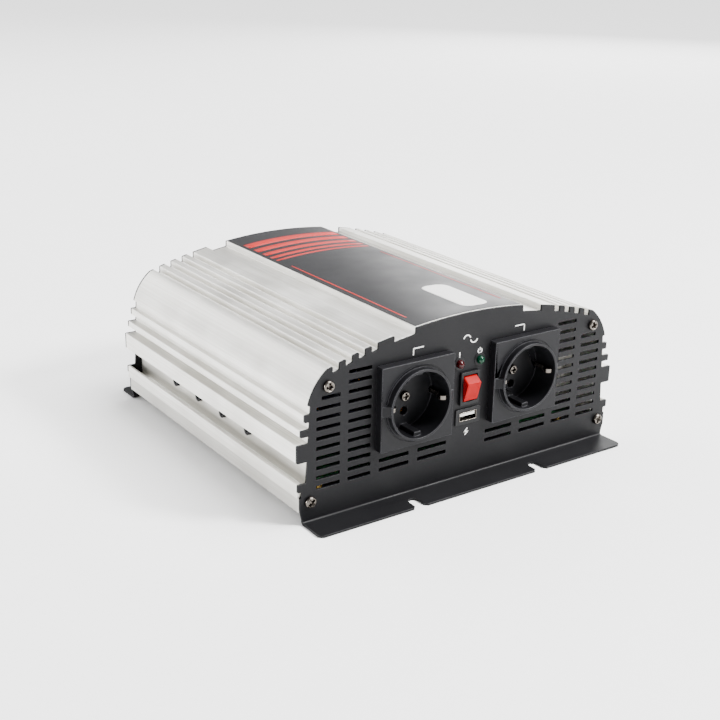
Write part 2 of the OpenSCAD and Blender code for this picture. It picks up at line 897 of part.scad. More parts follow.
module left_socket_cover() { color("#2f2f33") at_socket(-1) socket_cover(); }
module left_socket_base() { color("#26262a") at_socket(-1) socket_base(); }
module left_earth_strap() { color("gainsboro") at_socket(-1) earth_strap(); }
module left_pin_contacts() { color("gold") at_socket(-1) pin_contacts(); }
module left_socket_screw() { color("lightsteelblue") at_socket(-1) socket_screw(); }
module right_socket_cover() { color("#2f2f33") at_socket(1) socket_cover(); }
module right_socket_base() { color("#26262a") at_socket(1) socket_base(); }
module right_earth_strap() { color("gainsboro") at_socket(1) earth_strap(); }
module right_pin_contacts() { color("gold") at_socket(1) pin_contacts(); }
module right_socket_screw() { color("lightsteelblue") at_socket(1) socket_screw(); }

// Rocker switch
module rocker_bezel() {
    color("#1f1f22") on_front() translate([0, 0, switch_z]) difference() {
        union() {
            y_slab(-bezel_proud, 0) rounded_rect(bezel_w, bezel_h, 1);
            y_slab(0, switch_depth) square([switch_body_w, switch_body_h], center = true);
        }
        y_slab(-bezel_proud - 1, switch_cavity_y) square([switch_open_w, switch_open_h], center = true);
        x_rod(-switch_body_w / 2 - 1, switch_body_w / 2 + 1, pivot_y, 0, pivot_r + run_gap);
    }
}

module rocker_cap() {
    half = rocker_w / 2;
    pin_half = switch_body_w / 2 - 0.2;
    color("red") on_front() translate([0, pivot_y, switch_z]) rotate([rocker_tilt, 0, 0]) {
        translate([-half, 0, 0]) rotate([90, 0, 90]) linear_extrude(rocker_w) polygon([
            [-cap_front, cap_front_half], [-cap_front, -cap_front_half],
            [-cap_side, -cap_side_half], [0, -cap_side_half],
            [cap_back, -cap_back_half], [cap_back, cap_back_half],
            [0, cap_side_half], [-cap_side, cap_side_half]
        ]);
        x_rod(-pin_half, pin_half, 0, 0, pivot_r);
    }
}

module rocker_terminals() {
    color("gold") on_front() for (i = [-1 : 1])
        translate([0, 0, switch_z + i * tab_pitch])
            block(-tab_w / 2, tab_w / 2, switch_depth, switch_depth + tab_l, -tab_t / 2, tab_t / 2);
}

// Lamps
module lamp(x) {
    on_front() {
        translate([x, -lamp_proud, lamp_z]) intersection() {
            sphere(lamp_r);
            block(-lamp_r, lamp_r, -lamp_r, 0, -lamp_r, lamp_r);
        }
        y_rod(x, lamp_z, -lamp_proud, lamp_leg_y, lamp_r);
        for (s = [-1, 1])
            translate([x + s * lamp_leg_x - lamp_leg_w / 2, lamp_leg_y, lamp_z - lamp_leg_w / 2])
                cube([lamp_leg_w, lamp_board_y - lamp_leg_y, lamp_leg_w]);
    }
}

module fault_lamp() { color("darkred") lamp(-lamp_x); }
module power_lamp() { color("darkgreen") lamp(lamp_x); }

module lamp_holders() {
    color("#1f1f22") on_front() for (s = [-1, 1])
        difference() {
            union() {
                y_rod(s * lamp_x, lamp_z, -holder_lip_t, 0, holder_r + holder_lip);
                y_rod(s * lamp_x, lamp_z, 0, lamp_leg_y - lamp_proud, holder_r);
            }
            y_rod(s * lamp_x, lamp_z, -holder_lip_t - 1, lamp_leg_y, lamp_r + run_gap);
        }
}

module lamp_board() {
    half = lamp_x + lamp_board_side;
    color("darkgreen") on_front() translate([0, 0, lamp_z])
        block(-half, half, lamp_board_y, lamp_board_y + board_t, -lamp_board_h / 2, lamp_board_h / 2);
}

// Charging port
module port_bezel() {
    color("#1f1f22") on_front() difference() {
        union() {
            translate([0, 0, port_z]) y_slab(-port_proud, 0) rounded_rect(port_bezel_w, port_bezel_h, 0.6);
            block(-port_sleeve_w / 2, port_sleeve_w / 2, 0, port_sleeve_len,
                port_sleeve_z, port_sleeve_z + port_sleeve_h);
        }
        block(-port_open_w / 2, port_open_w / 2, -port_proud - 1, port_sleeve_len + 1,
            port_z - port_h / 2, port_open_top);
        block(-port_open_w / 2, port_open_w / 2, 1, port_sleeve_len + 1, port_board_z, port_z);
    }
}

module port_shell() {
    color("silver") on_front() difference() {
        block(-port_w / 2, port_w / 2, -port_proud - port_rim, port_len,
            port_z - port_h / 2, port_z + port_h / 2);
        block(-port_w / 2 + port_skin, port_w / 2 - port_skin, -port_proud - 1, port_len - port_skin,
            port_z - port_h / 2 + port_skin, port_z + port_h / 2 - port_skin);
    }
}

module port_tongue() {
    color("white") on_front() {
        block(-port_w / 2 + tongue_side, port_w / 2 - tongue_side, tongue_start, port_len - port_skin,
            port_z + tongue_low, port_z + port_h / 2 - port_skin - tongue_gap);
        block(-port_w / 2 + port_skin, port_w / 2 - port_skin, port_len - port_skin - tongue_root,
            port_len - port_skin, port_z - port_h / 2 + port_skin, port_z + port_h / 2 - port_skin);
    }
}

module port_board() {
    color("darkgreen") on_front()
        block(-port_w / 2, port_w / 2, port_board_start, port_len + port_board_tail,
            port_board_z, port_board_z + port_board_t);
}

// Main board and what stands on it
module main_board() {
    color("darkgreen") difference() {
        block(-board_half_w, board_half_w, -board_half_l, board_half_l, board_z, board_top);
        for (x = [-1, 1], y = standoff_ys)
            translate([x * standoff_x, y, board_z - 1])
                cylinder(r = board_screw_r + fit_gap, h = board_t + 2);
    }
}

module board_standoffs() {
    color("gold") for (x = [-1, 1], y = standoff_ys)
        translate([x * standoff_x, y, tray_top]) difference() {
            cylinder(r = standoff_r, h = standoff_h, $fn = 6);
            translate([0, 0, standoff_floor]) cylinder(r = board_screw_r + run_gap, h = standoff_h);
        }
}

module board_screws() {
    color("lightsteelblue") for (x = [-1, 1], y = standoff_ys)
        translate([x * standoff_x, y, board_top]) rotate([-90, 0, 0])
            pan_screw(0, 0, 0, board_head_r, board_head_h, board_screw_r,
                board_t + standoff_h - 2 * standoff_floor);
}

module transformer_core(side) {
    leg = core_w / 3.25;
    window = (core_w - leg - 2 * yoke_t) / 2;
    translate([side * transformer_x, transformer_y, board_top + bobbin_t]) difference() {
        block(-core_w / 2, core_w / 2, -core_d / 2, core_d / 2, 0, core_h);
        both_sides() block(leg / 2, leg / 2 + window, -core_d, core_d, yoke_t, core_h - yoke_t);
    }
}

module transformer_winding(side) {
    leg = core_w / 3.25;
    coil_w = leg + 2 * coil_t;
    coil_d = core_d + 2 * coil_t;
    translate([side * transformer_x, transformer_y, board_top]) {
        block(-core_w / 2, core_w / 2, -core_d / 2 - bobbin_lip, core_d / 2 + bobbin_lip, 0, bobbin_t);
        for (s = [-1, 1])
            translate([-leg / 2, s * (core_d + bobbin_lip) / 2 - bobbin_lip / 2, bobbin_t])
                cube([leg, bobbin_lip, yoke_t]);
        translate([0, 0, bobbin_t + yoke_t]) linear_extrude(core_h - 2 * yoke_t) difference() {
            rounded_rect(coil_w, coil_d, coil_t);
            square([leg, core_d], center = true);
        }
    }
}

module left_transformer_core() { color("#2a2a2a") transformer_core(-1); }
module right_transformer_core() { color("#2a2a2a") transformer_core(1); }
module left_transformer_winding() { color("goldenrod") transformer_winding(-1); }
module right_transformer_winding() { color("goldenrod") transformer_winding(1); }

module input_capacitors() {
    row_y = end_y - fan_d - cap_d / 2 - cap_fan_gap;
    color("midnightblue") for (i = [-1.5 : 1 : 1.5])
        translate([i * (cap_d + cap_gap), row_y, board_top]) {
            cylinder(d = cap_d, h = cap_h - can_step);
            cylinder(d = cap_d - 2 * can_lip, h = cap_h);
        }
}

module bus_capacitor() {
    place = [-transformer_x - front_part_out, transformer_y - core_d - bus_cap_ahead, board_top];
    color("black") translate(place) {
        cylinder(d = bus_cap_d, h = bus_cap_h - can_step);
        cylinder(d = bus_cap_d - 2 * bus_can_lip, h = bus_cap_h);
    }
}

module output_choke() {
    place = [transformer_x + front_part_out, transformer_y - core_d - choke_ahead, board_top];
    color("chocolate") translate(place)
        rotate_extrude() translate([choke_r, choke_h / 2]) rounded_rect(choke_w, choke_h, choke_round);
}

module control_board() {
    color("darkgreen") translate([0, -board_half_l + control_in, board_top]) {
        block(-control_w / 2, control_w / 2, 0, board_t, control_lift, control_lift + control_h);
        block(-header_w / 2, header_w / 2, -header_d, 0, 0, header_h);
        block(-header_w / 2, header_w / 2, 0, board_t, 0, control_lift);
    }
}

module at_fuses() {
    for (i = [0 : fuse_n - 1])
        translate([-fuse_x, fuse_last_y - i * fuse_pitch, board_top]) children();
}

module fuse_holders() {
    color("#1f1f22") at_fuses() difference() {
        block(-fuse_w / 2, fuse_w / 2, -fuse_d / 2, fuse_d / 2, 0, fuse_holder_h);
        block(-fuse_w / 2 + fuse_wall, fuse_w / 2 - fuse_wall, -fuse_slot_w / 2, fuse_slot_w / 2,
            fuse_floor, fuse_holder_h + 1);
    }
}

module blade_fuses() {
    low_z = fuse_holder_h + seat_gap;
    half = fuse_w / 2 - fuse_end_gap;
    color("gold") at_fuses() {
        block(-half, half, -fuse_t / 2, fuse_t / 2, low_z, low_z + fuse_h);
        for (s = [-1, 1])
            translate([s * blade_x, 0, 0])
                block(-blade_w / 2, blade_w / 2, -blade_t / 2, blade_t / 2, fuse_floor, low_z);
    }
}

// Power transistors held to the heat rails
module transistor_ys() {
    middle = (transistors_per_gap - 1) / 2;
    for (i = [0 : clamp_screws_n - 2], j = [0 : transistors_per_gap - 1]) {
        gap_y = (clamp_ys[i] + clamp_ys[i + 1]) / 2;
        translate([0, gap_y + (j - middle) * (transistor_w + transistor_gap), 0]) children();
    }
}

module power_transistors() {
    back_x = heat_rail_x - pad_t;
    color("#222222") both_sides() transistor_ys() {
        block(back_x - transistor_t, back_x, -transistor_w / 2, transistor_w / 2,
            transistor_low_z, transistor_low_z + transistor_h);
        for (i = [-1 : 1])
            translate([back_x - leg_back, i * leg_pitch, 0])
                block(-leg_t, 0, -leg_w / 2, leg_w / 2, board_top, transistor_low_z + 0.5);
    }
}

module transistor_clamps() {
    color("silver") both_sides() difference() {
        block(clamp_bar_x - clamp_t, clamp_bar_x, clamp_bar_y[0], clamp_bar_y[1],
            clamp_z - clamp_h / 2, clamp_z + clamp_h / 2);
        for (y = clamp_ys)
            x_rod(clamp_bar_x - clamp_t - 1, clamp_bar_x + 1, y, clamp_z, clamp_screw_r + run_gap);
    }
}

module heat_pads() {
    color("lightgray") both_sides() difference() {
        block(heat_rail_x - pad_t, heat_rail_x, clamp_bar_y[0], clamp_bar_y[1],
            transistor_low_z - pad_margin, transistor_low_z + transistor_h + pad_margin);
        for (y = clamp_ys)
            x_rod(heat_rail_x - 5, heat_rail_x + 5, y, clamp_z, clamp_screw_r + fit_gap);
    }
}

// Fan behind the rear plate
module fan_frame() {
    inner_y = plate_t + fan_d;
    color("#1f1f22") on_rear() translate([0, 0, fan_z]) {
        difference() {
            y_slab(plate_t, inner_y) rounded_rect(fan_w, fan_w, fan_corner_r);
            y_rod(0, 0, plate_t - 1, inner_y - fan_back, fan_bore_r);
            difference() {
                y_rod(0, 0, inner_y - fan_back - 1, inner_y + 1, fan_bore_r);
                y_rod(0, 0, inner_y - fan_back - 2, inner_y + 2, fan_hub_r);
                for (a = [0, 90])
                    rotate([0, a + 45, 0])
                        block(-fan_w, fan_w, inner_y - fan_back - 2, inner_y + 2,
                            -fan_arm_w / 2, fan_arm_w / 2);
            }
            for (x = [-1, 1], z = [-1, 1])
                y_rod(x * fan_hole / 2, z * fan_hole / 2, plate_t - 1, inner_y + 1, fan_screw_r + fit_gap);
        }
        y_rod(0, 0, inner_y - fan_back - 1 - fan_shaft_l, inner_y - 1, fan_shaft_r);
    }
}

module fan_rotor() {
    front_y = plate_t + fan_front_gap;
    back_y = plate_t + fan_d - fan_back - fan_back_gap;
    chord = (back_y - front_y - 3 * blade_end) / cos(fan_pitch_a);
    color("#2a2a2e") on_rear() translate([0, 0, fan_z]) {
        difference() {
            y_rod(0, 0, front_y, back_y, fan_hub_r);
            y_rod(0, 0, front_y + fan_hub_skin, back_y + 1, fan_shaft_r + run_gap);
        }
        for (i = [0 : fan_blades - 1])
            rotate([0, i * 360 / fan_blades, 0]) intersection() {
                translate([0, (front_y + back_y) / 2, 0]) rotate([0, 0, fan_pitch_a])
                    block(-fan_blade_t / 2, fan_blade_t / 2, -chord / 2, chord / 2, fan_hub_r - 1, fan_w);
                y_rod(0, 0, front_y + blade_end, back_y - blade_end, fan_tip_r);
            }
    }
}

module fan_guard() {
    wire_r = wire_d / 2;
    rings = [for (i = [1 : 4]) fan_bore_r * i / 4.2];
    eyelet_r = fan_screw_r + fit_gap + wire_r;
    leg_l = fan_hole / 2 * sqrt(2) - eyelet_r;
    color("silver") on_rear() translate([0, -wire_r, fan_z]) {
        for (r = rings)
            rotate([90, 0, 0]) rotate_extrude() translate([r, 0]) circle(wire_r);
        for (a = [45 : 90 : 315])
            rotate([0, a, 0]) {
                x_rod(rings[0], leg_l, 0, 0, wire_r * 0.8);
                translate([fan_hole / 2 * sqrt(2), 0, 0]) rotate([90, 0, 0])
                    rotate_extrude() translate([eyelet_r, 0]) circle(wire_r);
            }
    }
}

module fan_screws() {
    color("lightsteelblue") on_rear() for (x = [-1, 1], z = [-1, 1])
        pan_screw(x * fan_hole / 2, fan_z + z * fan_hole / 2, -wire_d, fan_head_r, fan_head_h, fan_screw_r,
            wire_d + plate_t + fan_d - fan_screw_short);
}

// Screw terminals
module terminal_post(side) {
    on_rear() {
        y_rod(side * terminal_x, fan_z, -post_out, bar_y, post_r);
        translate([side * terminal_x, bar_y, fan_z]) rotate([-90, 0, 0])
            cylinder(r = post_r + post_head_step, h = post_head_h, $fn = 6);
    }
}

module terminal_bush(side) {
    on_rear() difference() {
        union() {
            y_rod(side * terminal_x, fan_z, -bush_t, 0, bush_r);
            y_rod(side * terminal_x, fan_z, 0, plate_t, bush_sleeve_r);
            y_rod(side * terminal_x, fan_z, plate_t, plate_t + inner_washer_t, bush_r);
        }
        y_rod(side * terminal_x, fan_z, -bush_t - 1, bar_y, post_r + run_gap);
    }
}

module terminal_washer(side) {
    on_rear() difference() {
        y_rod(side * terminal_x, fan_z, -bush_t - seat_gap - washer_t, -bush_t - seat_gap,
            knob_d / 2 - washer_in);
        y_rod(side * terminal_x, fan_z, -bush_t - washer_t - 1, -bush_t + 1, post_r + run_gap);
    }
}

module terminal_knob(side) {
    base_y = -bush_t - washer_t - 2 * seat_gap;
    on_rear() difference() {
        y_rod(side * terminal_x, fan_z, base_y - knob_len, base_y, knob_d / 2);
        y_rod(side * terminal_x, fan_z, base_y - knob_len - 1, base_y + 1, post_r + run_gap);
        for (i = [0 : knob_ribs - 1])
            translate([side * terminal_x, 0, fan_z]) rotate([0, i * 360 / knob_ribs, 0])
                y_rod(knob_d / 2 + rib_out, 0, base_y - knob_len - 1, base_y - rib_base, rib_r);
    }
}

module terminal_busbar(side) {
    foot_end_y = face_y - board_half_l + bar_foot;
    on_rear() translate([side * terminal_x, 0, 0]) difference() {
        union() {
            block(-bar_w / 2, bar_w / 2, bar_y - bar_t, bar_y, board_top, fan_z + bar_w / 2);
            block(-bar_w / 2, bar_w / 2, bar_y, foot_end_y, board_top, board_top + bar_t);
        }
        y_rod(0, fan_z, 0, bar_y + 1, post_r + run_gap);
    }
}

module positive_post() { color("gold") terminal_post(1); }
module positive_bush() { color("firebrick") terminal_bush(1); }
module positive_washer() { color("gold") terminal_washer(1); }
module positive_knob() { color("red") terminal_knob(1); }
module positive_busbar() { color("peru") terminal_busbar(1); }
module negative_post() { color("gold") terminal_post(-1); }
module negative_bush() { color("#1f1f22") terminal_bush(-1); }
module negative_washer() { color("gold") terminal_washer(-1); }
module negative_knob() { color("#1f1f22") terminal_knob(-1); }
module negative_busbar() { color("peru") terminal_busbar(-1); }

// Earth screw on its plain washer, low on the rear plate
module earth_screw() {
    color("gold") on_rear() {
        pan_screw(-earth_x, earth_z, -earth_washer_t, earth_head_r, earth_head_h, earth_r,
            plate_t + earth_inside);
        y_rod(-earth_x, earth_z, -earth_washer_t, 0, earth_washer_r);
    }
}

upper_shell();
base_tray();
front_plate();
rear_plate();
plate_screws();
clamp_screws();
top_label();
left_socket_cover();
left_socket_base();
left_earth_strap();
left_pin_contacts();
left_socket_screw();
right_socket_cover();
right_socket_base();
right_earth_strap();
right_pin_contacts();
right_socket_screw();
rocker_bezel();
rocker_cap();
rocker_terminals();
fault_lamp();
power_lamp();
lamp_holders();
lamp_board();
port_bezel();
port_shell();
port_tongue();
port_board();
main_board();
board_standoffs();
board_screws();
left_transformer_core();
left_transformer_winding();
right_transformer_core();
right_transformer_winding();
input_capacitors();
bus_capacitor();
output_choke();
control_board();
fuse_holders();
blade_fuses();
power_transistors();
transistor_clamps();
heat_pads();
fan_frame();
fan_rotor();
fan_guard();
fan_screws();
positive_post();
positive_bush();
positive_washer();
positive_knob();
positive_busbar();
negative_post();
negative_bush();
negative_washer();
negative_knob();
negative_busbar();
earth_screw();
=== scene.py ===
"""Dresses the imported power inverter: soft edges, prints, screws, rocker, fan, terminals and finishes.

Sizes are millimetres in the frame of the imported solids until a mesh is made. The front faces -y and the feet
stand at z = 0.
"""

from __future__ import annotations

import logging
import math
from dataclasses import dataclass, replace
from enum import Enum
from typing import Any, Optional, Sequence

import bmesh
import bpy
import numpy as np
from mathutils import Matrix, Vector

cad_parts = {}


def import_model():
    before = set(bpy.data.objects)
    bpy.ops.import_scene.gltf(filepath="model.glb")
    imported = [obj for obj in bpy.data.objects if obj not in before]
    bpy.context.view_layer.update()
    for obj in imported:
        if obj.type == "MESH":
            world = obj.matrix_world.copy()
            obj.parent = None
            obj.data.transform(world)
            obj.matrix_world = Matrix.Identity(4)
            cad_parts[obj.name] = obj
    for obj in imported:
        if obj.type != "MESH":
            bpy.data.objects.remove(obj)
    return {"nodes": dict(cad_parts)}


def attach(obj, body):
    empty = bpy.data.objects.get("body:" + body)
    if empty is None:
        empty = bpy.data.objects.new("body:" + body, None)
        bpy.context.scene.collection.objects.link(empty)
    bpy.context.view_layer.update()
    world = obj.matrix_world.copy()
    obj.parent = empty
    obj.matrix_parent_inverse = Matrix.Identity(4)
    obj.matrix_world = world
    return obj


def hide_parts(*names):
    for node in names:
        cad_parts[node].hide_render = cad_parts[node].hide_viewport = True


MM = 0.001
LOG = logging.getLogger("inverter")

# Outer face of each end plate, from the middle of the casing, in millimetres
FACE_Y = 112.0
# In a new piece, faces that meet at more than this keep a sharp edge between them
SMOOTH_DEG = 32.0
# Edges of a solid that bend more than this get rounded
SHARP_DEG = 28.0
# Triangles of a solid that bend less than this make one flat face
FLAT_DEG = 0.3
# Points of a solid that are closer than this, in metres, are one point
MERGE_M = 1e-7
# Least share of an edge's length along y for it to be a corner of an outline
ALONG_Y = 0.999
# Radius of the tiny ring that closes a turned shape on its axis, in millimetres
POLE_R = 0.05

# Where an effect begins and where it is full, for the tone and the gloss by their noise, for painted shade in
# hollows by the light that reaches them, and for lighter edges by the cosine of their bend
TONE_SPAN = {"From Min": 0.1, "From Max": 0.42}
GLOSS_SPAN = {"From Min": 0.3, "From Max": 0.7}
PAINTED_SHADE_SPAN = {"From Min": 0.75, "From Max": 0.25}
EDGE_SPAN = {"From Min": 0.995, "From Max": 0.88}
# Sockets of a mix of colours: the share, the two colours and the result
SHARE = 0
FIRST = 6
SECOND = 7
RESULT = 2


def linear_rgb(hex_code: str) -> tuple[float, float, float, float]:
    """Turns an sRGB hex colour into linear light, by the standard's straight foot and power curve.

    Args:
        hex_code: Colour as "#rrggbb".

    Returns:
        Linear red, green and blue with an alpha of one.
    """
    srgb = np.array([int(hex_code[i : i + 2], 16) for i in (1, 3, 5)]) / 255
    light = np.where(srgb <= 0.04045, srgb / 12.92, ((srgb + 0.055) / 1.055) ** 2.4)
    return (*light.tolist(), 1.0)


def add_node(
    tree: bpy.types.NodeTree,
    kind: str,
    settings: Optional[dict[str | int, Any]] = None,
    links: Optional[dict[str | int, bpy.types.NodeSocket]] = None,
) -> bpy.types.Node:
    """Adds a node with its settings and links.

    Args:
        tree: Node tree that takes the node.
        kind: Blender's name of the node type.
        settings: Values by property name, or by the name or number of an input socket.
        links: Output sockets to join, by the name or number of an input socket.

    Returns:
        The new node.
    """
    node = tree.nodes.new(kind)
    for key, value in (settings or {}).items():
        if isinstance(key, int) or key in node.inputs:
            node.inputs[key].default_value = value
        else:
            setattr(node, key, value)
    for key, socket in (links or {}).items():
        tree.links.new(socket, node.inputs[key])
    return node


class Grain(Enum):
    """Texture that the making of a surface leaves on it, as its size along x, y and z."""

    PEBBLED = (1.0, 1.0, 1.0)
    DRAWN_ALONG_Y = (1.0, 90.0, 1.0)
    TURNED_ACROSS_Y = (14.0, 1.0, 14.0)
    WOUND_UP_Z = (25.0, 25.0, 1.0)


@dataclass(frozen=True)
class Finish:
    """A material with its colours, gloss and grain.

    Grain sizes are real millimetres. Moulded, blasted and coated textures are finer than the half
    millimetre that a pixel of the photograph covers, so they are drawn about that coarse to show at all.
    """

    name: str
    colour: str
    shade: str
    metallic: float = 0.0
    roughness: float = 0.45
    gloss_spread: float = 0.08
    ior: float = 1.5
    grain: Grain = Grain.PEBBLED
    grain_mm: float = 0.7
    relief_mm: float = 0.02
    blotch_mm: float = 35.0
    coat: float = 0.0
    transmission: float = 0.0
    subsurface_mm: float = 0.0
    anisotropy: float = 0.0
    # Colour of lighter edges: partly rubbed edges and partly a painted highlight
    edge: str = ""
    edge_mm: float = 0.5
    # Colour of the painted shade in hollows, laid on where ambient occlusion finds little light
    painted_crevice_shade: str = ""
    painted_shade_mm: float = 2.0

    def noise(self, tree: bpy.types.NodeTree, size: Sequence[float]) -> bpy.types.NodeSocket:
        """Noise on Object coordinates with grains of the given size.

        Args:
            tree: Node tree of the material.
            size: Grain size along x, y and z in millimetres.

        Returns:
            The noise's value, from 0 to 1.
        """
        place = add_node(tree, "ShaderNodeTexCoord").outputs["Object"]
        scale = [1 / (length * MM) for length in size]
        fitted = add_node(tree, "ShaderNodeMapping", {"Scale": scale}, {"Vector": place}).outputs["Vector"]
        settings = {"Scale": 1.0, "Detail": 2.0, "Roughness": 0.55}
        return add_node(tree, "ShaderNodeTexNoise", settings, {"Vector": fitted}).outputs["Fac"]

    def tint(
        self, tree: bpy.types.NodeTree, fine: bpy.types.NodeSocket, broad: bpy.types.NodeSocket
    ) -> bpy.types.NodeSocket:
        """Colour that varies with both grains, with painted shade in hollows and lighter along edges.

        The painted shade darkens the colour where the surface close by shuts out light. An edge is where the
        normal that a rounding would give departs from the surface's own; its lighter colour stands partly for
        rubbed edges and partly for a painted highlight. A finish that names no colour for them has neither.

        Args:
            tree: Node tree of the material.
            fine: Fine grain.
            broad: Broad blotches.

        Returns:
            The colour.
        """
        both = add_node(tree, "ShaderNodeMath", {"operation": "MULTIPLY"}, {0: fine, 1: broad}).outputs[0]
        tone = add_node(tree, "ShaderNodeMapRange", TONE_SPAN, {"Value": both}).outputs["Result"]
        ends = {"data_type": "RGBA", FIRST: linear_rgb(self.shade), SECOND: linear_rgb(self.colour)}
        colour = add_node(tree, "ShaderNodeMix", ends, {SHARE: tone}).outputs[RESULT]
        # Painted shade: the colour darkens in grooves and hollows, where the surface close by shuts out light
        if self.painted_crevice_shade:
            near = {"samples": 8, "Distance": self.painted_shade_mm * MM}
            light = add_node(tree, "ShaderNodeAmbientOcclusion", near).outputs["AO"]
            painted_shade_share = add_node(tree, "ShaderNodeMapRange", PAINTED_SHADE_SPAN, {"Value": light}).outputs["Result"]
            painted_shade_ends = {"data_type": "RGBA", SECOND: linear_rgb(self.painted_crevice_shade)}
            colour = add_node(tree, "ShaderNodeMix", painted_shade_ends, {SHARE: painted_shade_share, FIRST: colour}).outputs[RESULT]
        # Lighter edges: partly rubbed edges, partly a painted highlight where a rounding would catch light
        if not self.edge:
            return colour
        rounded = add_node(tree, "ShaderNodeBevel", {"samples": 4, "Radius": self.edge_mm * MM})
        own = add_node(tree, "ShaderNodeNewGeometry")
        normals = {0: rounded.outputs["Normal"], 1: own.outputs["Normal"]}
        match = add_node(tree, "ShaderNodeVectorMath", {"operation": "DOT_PRODUCT"}, normals).outputs["Value"]
        rubbed_and_highlight_mask = add_node(tree, "ShaderNodeMapRange", EDGE_SPAN, {"Value": match}).outputs["Result"]
        patchy_rubbed_and_highlight = add_node(tree, "ShaderNodeMath", {"operation": "MULTIPLY"}, {0: rubbed_and_highlight_mask, 1: broad}).outputs[0]
        rubbed_and_highlight_ends = {"data_type": "RGBA", SECOND: linear_rgb(self.edge)}
        return add_node(tree, "ShaderNodeMix", rubbed_and_highlight_ends, {SHARE: patchy_rubbed_and_highlight, FIRST: colour}).outputs[RESULT]

    def material(self) -> bpy.types.Material:
        """Builds the material once.

        Returns:
            The material of this finish.
        """
        found = bpy.data.materials.get(self.name)
        if found:
            return found
        material = bpy.data.materials.new(self.name)
        material.use_nodes = True
        tree = material.node_tree
        tree.nodes.clear()
        fine = self.noise(tree, [self.grain_mm * share for share in self.grain.value])
        broad = self.noise(tree, [self.blotch_mm] * 3)
        ends = {"To Min": self.roughness - self.gloss_spread, "To Max": self.roughness + self.gloss_spread}
        gloss = add_node(tree, "ShaderNodeMapRange", GLOSS_SPAN | ends, {"Value": broad}).outputs["Result"]
        relief = {"Strength": 1.0, "Distance": self.relief_mm * MM}
        bump = add_node(tree, "ShaderNodeBump", relief, {"Height": fine}).outputs["Normal"]
        settings = {
            "Metallic": self.metallic,
            "IOR": self.ior,
            "Anisotropic": self.anisotropy,
            "Coat Weight": self.coat,
            "Coat Roughness": 0.15,
            "Transmission Weight": self.transmission,
        }
        if self.subsurface_mm:
            settings["Subsurface Weight"] = 0.35
            settings["Subsurface Radius"] = (1.0, 0.25, 0.2)
            settings["Subsurface Scale"] = self.subsurface_mm * MM
        links = {"Base Color": self.tint(tree, fine, broad), "Roughness": gloss, "Normal": bump}
        shader = add_node(tree, "ShaderNodeBsdfPrincipled", settings, links).outputs["BSDF"]
        add_node(tree, "ShaderNodeOutputMaterial", {}, {"Surface": shader})
        return material


# Clear-anodised extruded aluminium, blasted: a pale silk sheen with faint lines along the draw, painted
# shade in its grooves and a painted highlight along its edges
ANODISED_ALUMINIUM = Finish(
    "anodised_aluminium_extruded",
    "#f3f2ee",
    "#dad8d2",
    metallic=1.0,
    roughness=0.54,
    gloss_spread=0.05,
    grain=Grain.DRAWN_ALONG_Y,
    grain_mm=0.9,
    relief_mm=0.006,
    anisotropy=0.25,
    edge="#fbfaf7",
    edge_mm=0.6,
    painted_crevice_shade="#77756f",
)
# The tray is a second extrusion, a shade darker than the shell, with a wider painted highlight along its edges
ANODISED_TRAY = replace(
    ANODISED_ALUMINIUM, name="anodised_aluminium_tray", colour="#d2d1cd", shade="#bdbbb5", edge_mm=1.2
)
# Powder coat on sheet steel: dark, even, with the slight orange peel of melted powder; its edges are lighter,
# partly rubbed and partly a painted highlight
CHARCOAL_POWDER_COAT = Finish(
    "steel_powder_coated_charcoal",
    "#121214",
    "#0e0e10",
    roughness=0.46,
    ior=1.25,
    grain_mm=0.9,
    relief_mm=0.02,
    edge="#363638",
)
# Moulded polyamide of the outlets: charcoal with a cool cast and the fine texture of a spark-eroded tool; its
# edges carry a painted highlight, with a little rubbing
POLYAMIDE_CHARCOAL = Finish(
    "polyamide_moulded_charcoal",
    "#131316",
    "#0f0f11",
    roughness=0.42,
    ior=1.25,
    grain_mm=0.5,
    relief_mm=0.012,
    edge="#707075",
)
# Moulded ABS, near black, for bezels, fan and knobs; its edges are a little lighter, partly rubbed and partly
# a painted highlight
ABS_BLACK = Finish(
    "abs_moulded_black",
    "#0e0e10",
    "#0b0b0c",
    roughness=0.4,
    ior=1.3,
    grain_mm=0.5,
    relief_mm=0.012,
    edge="#2c2c2e",
    edge_mm=0.3,
)
# Moulded PBT of the fan's rotor: dark grey, a shade lighter than its frame
PBT_GREY = Finish("pbt_moulded_grey", "#4a4a4f", "#3f3f44", roughness=0.38, grain_mm=0.5, relief_mm=0.008)
# Moulded polycarbonate, bright red and a little translucent, with a smooth tool finish
POLYCARBONATE_RED = Finish(
    "polycarbonate_moulded_red",
    "#9a0002",
    "#8c0002",
    roughness=0.4,
    gloss_spread=0.04,
    ior=1.2,
    relief_mm=0.002,
    subsurface_mm=0.6,
)
# Cast epoxy lenses, tinted right through: dark until lit, with a bright glint
EPOXY_RED = Finish(
    "epoxy_cast_red",
    "#3d0205",
    "#330103",
    roughness=0.14,
    gloss_spread=0.02,
    ior=1.3,
    relief_mm=0.0,
    coat=0.12,
    transmission=0.25,
)
EPOXY_GREEN = replace(EPOXY_RED, name="epoxy_cast_green", colour="#013d27", shade="#012e1d")
# Nickel-plated steel: a warm grey that mirrors what is near it, with faint turning marks
NICKEL_PLATED_STEEL = Finish(
    "steel_nickel_plated",
    "#6e6963",
    "#5c5752",
    metallic=1.0,
    roughness=0.24,
    grain=Grain.TURNED_ACROSS_Y,
    grain_mm=0.25,
    relief_mm=0.004,
)
# Blackened steel of the side screws: dark with a dull shine
BLACKENED_STEEL = Finish(
    "steel_black_oxide", "#3a3a3d", "#2c2c2f", metallic=0.9, roughness=0.4, grain_mm=0.4, relief_mm=0.004
)
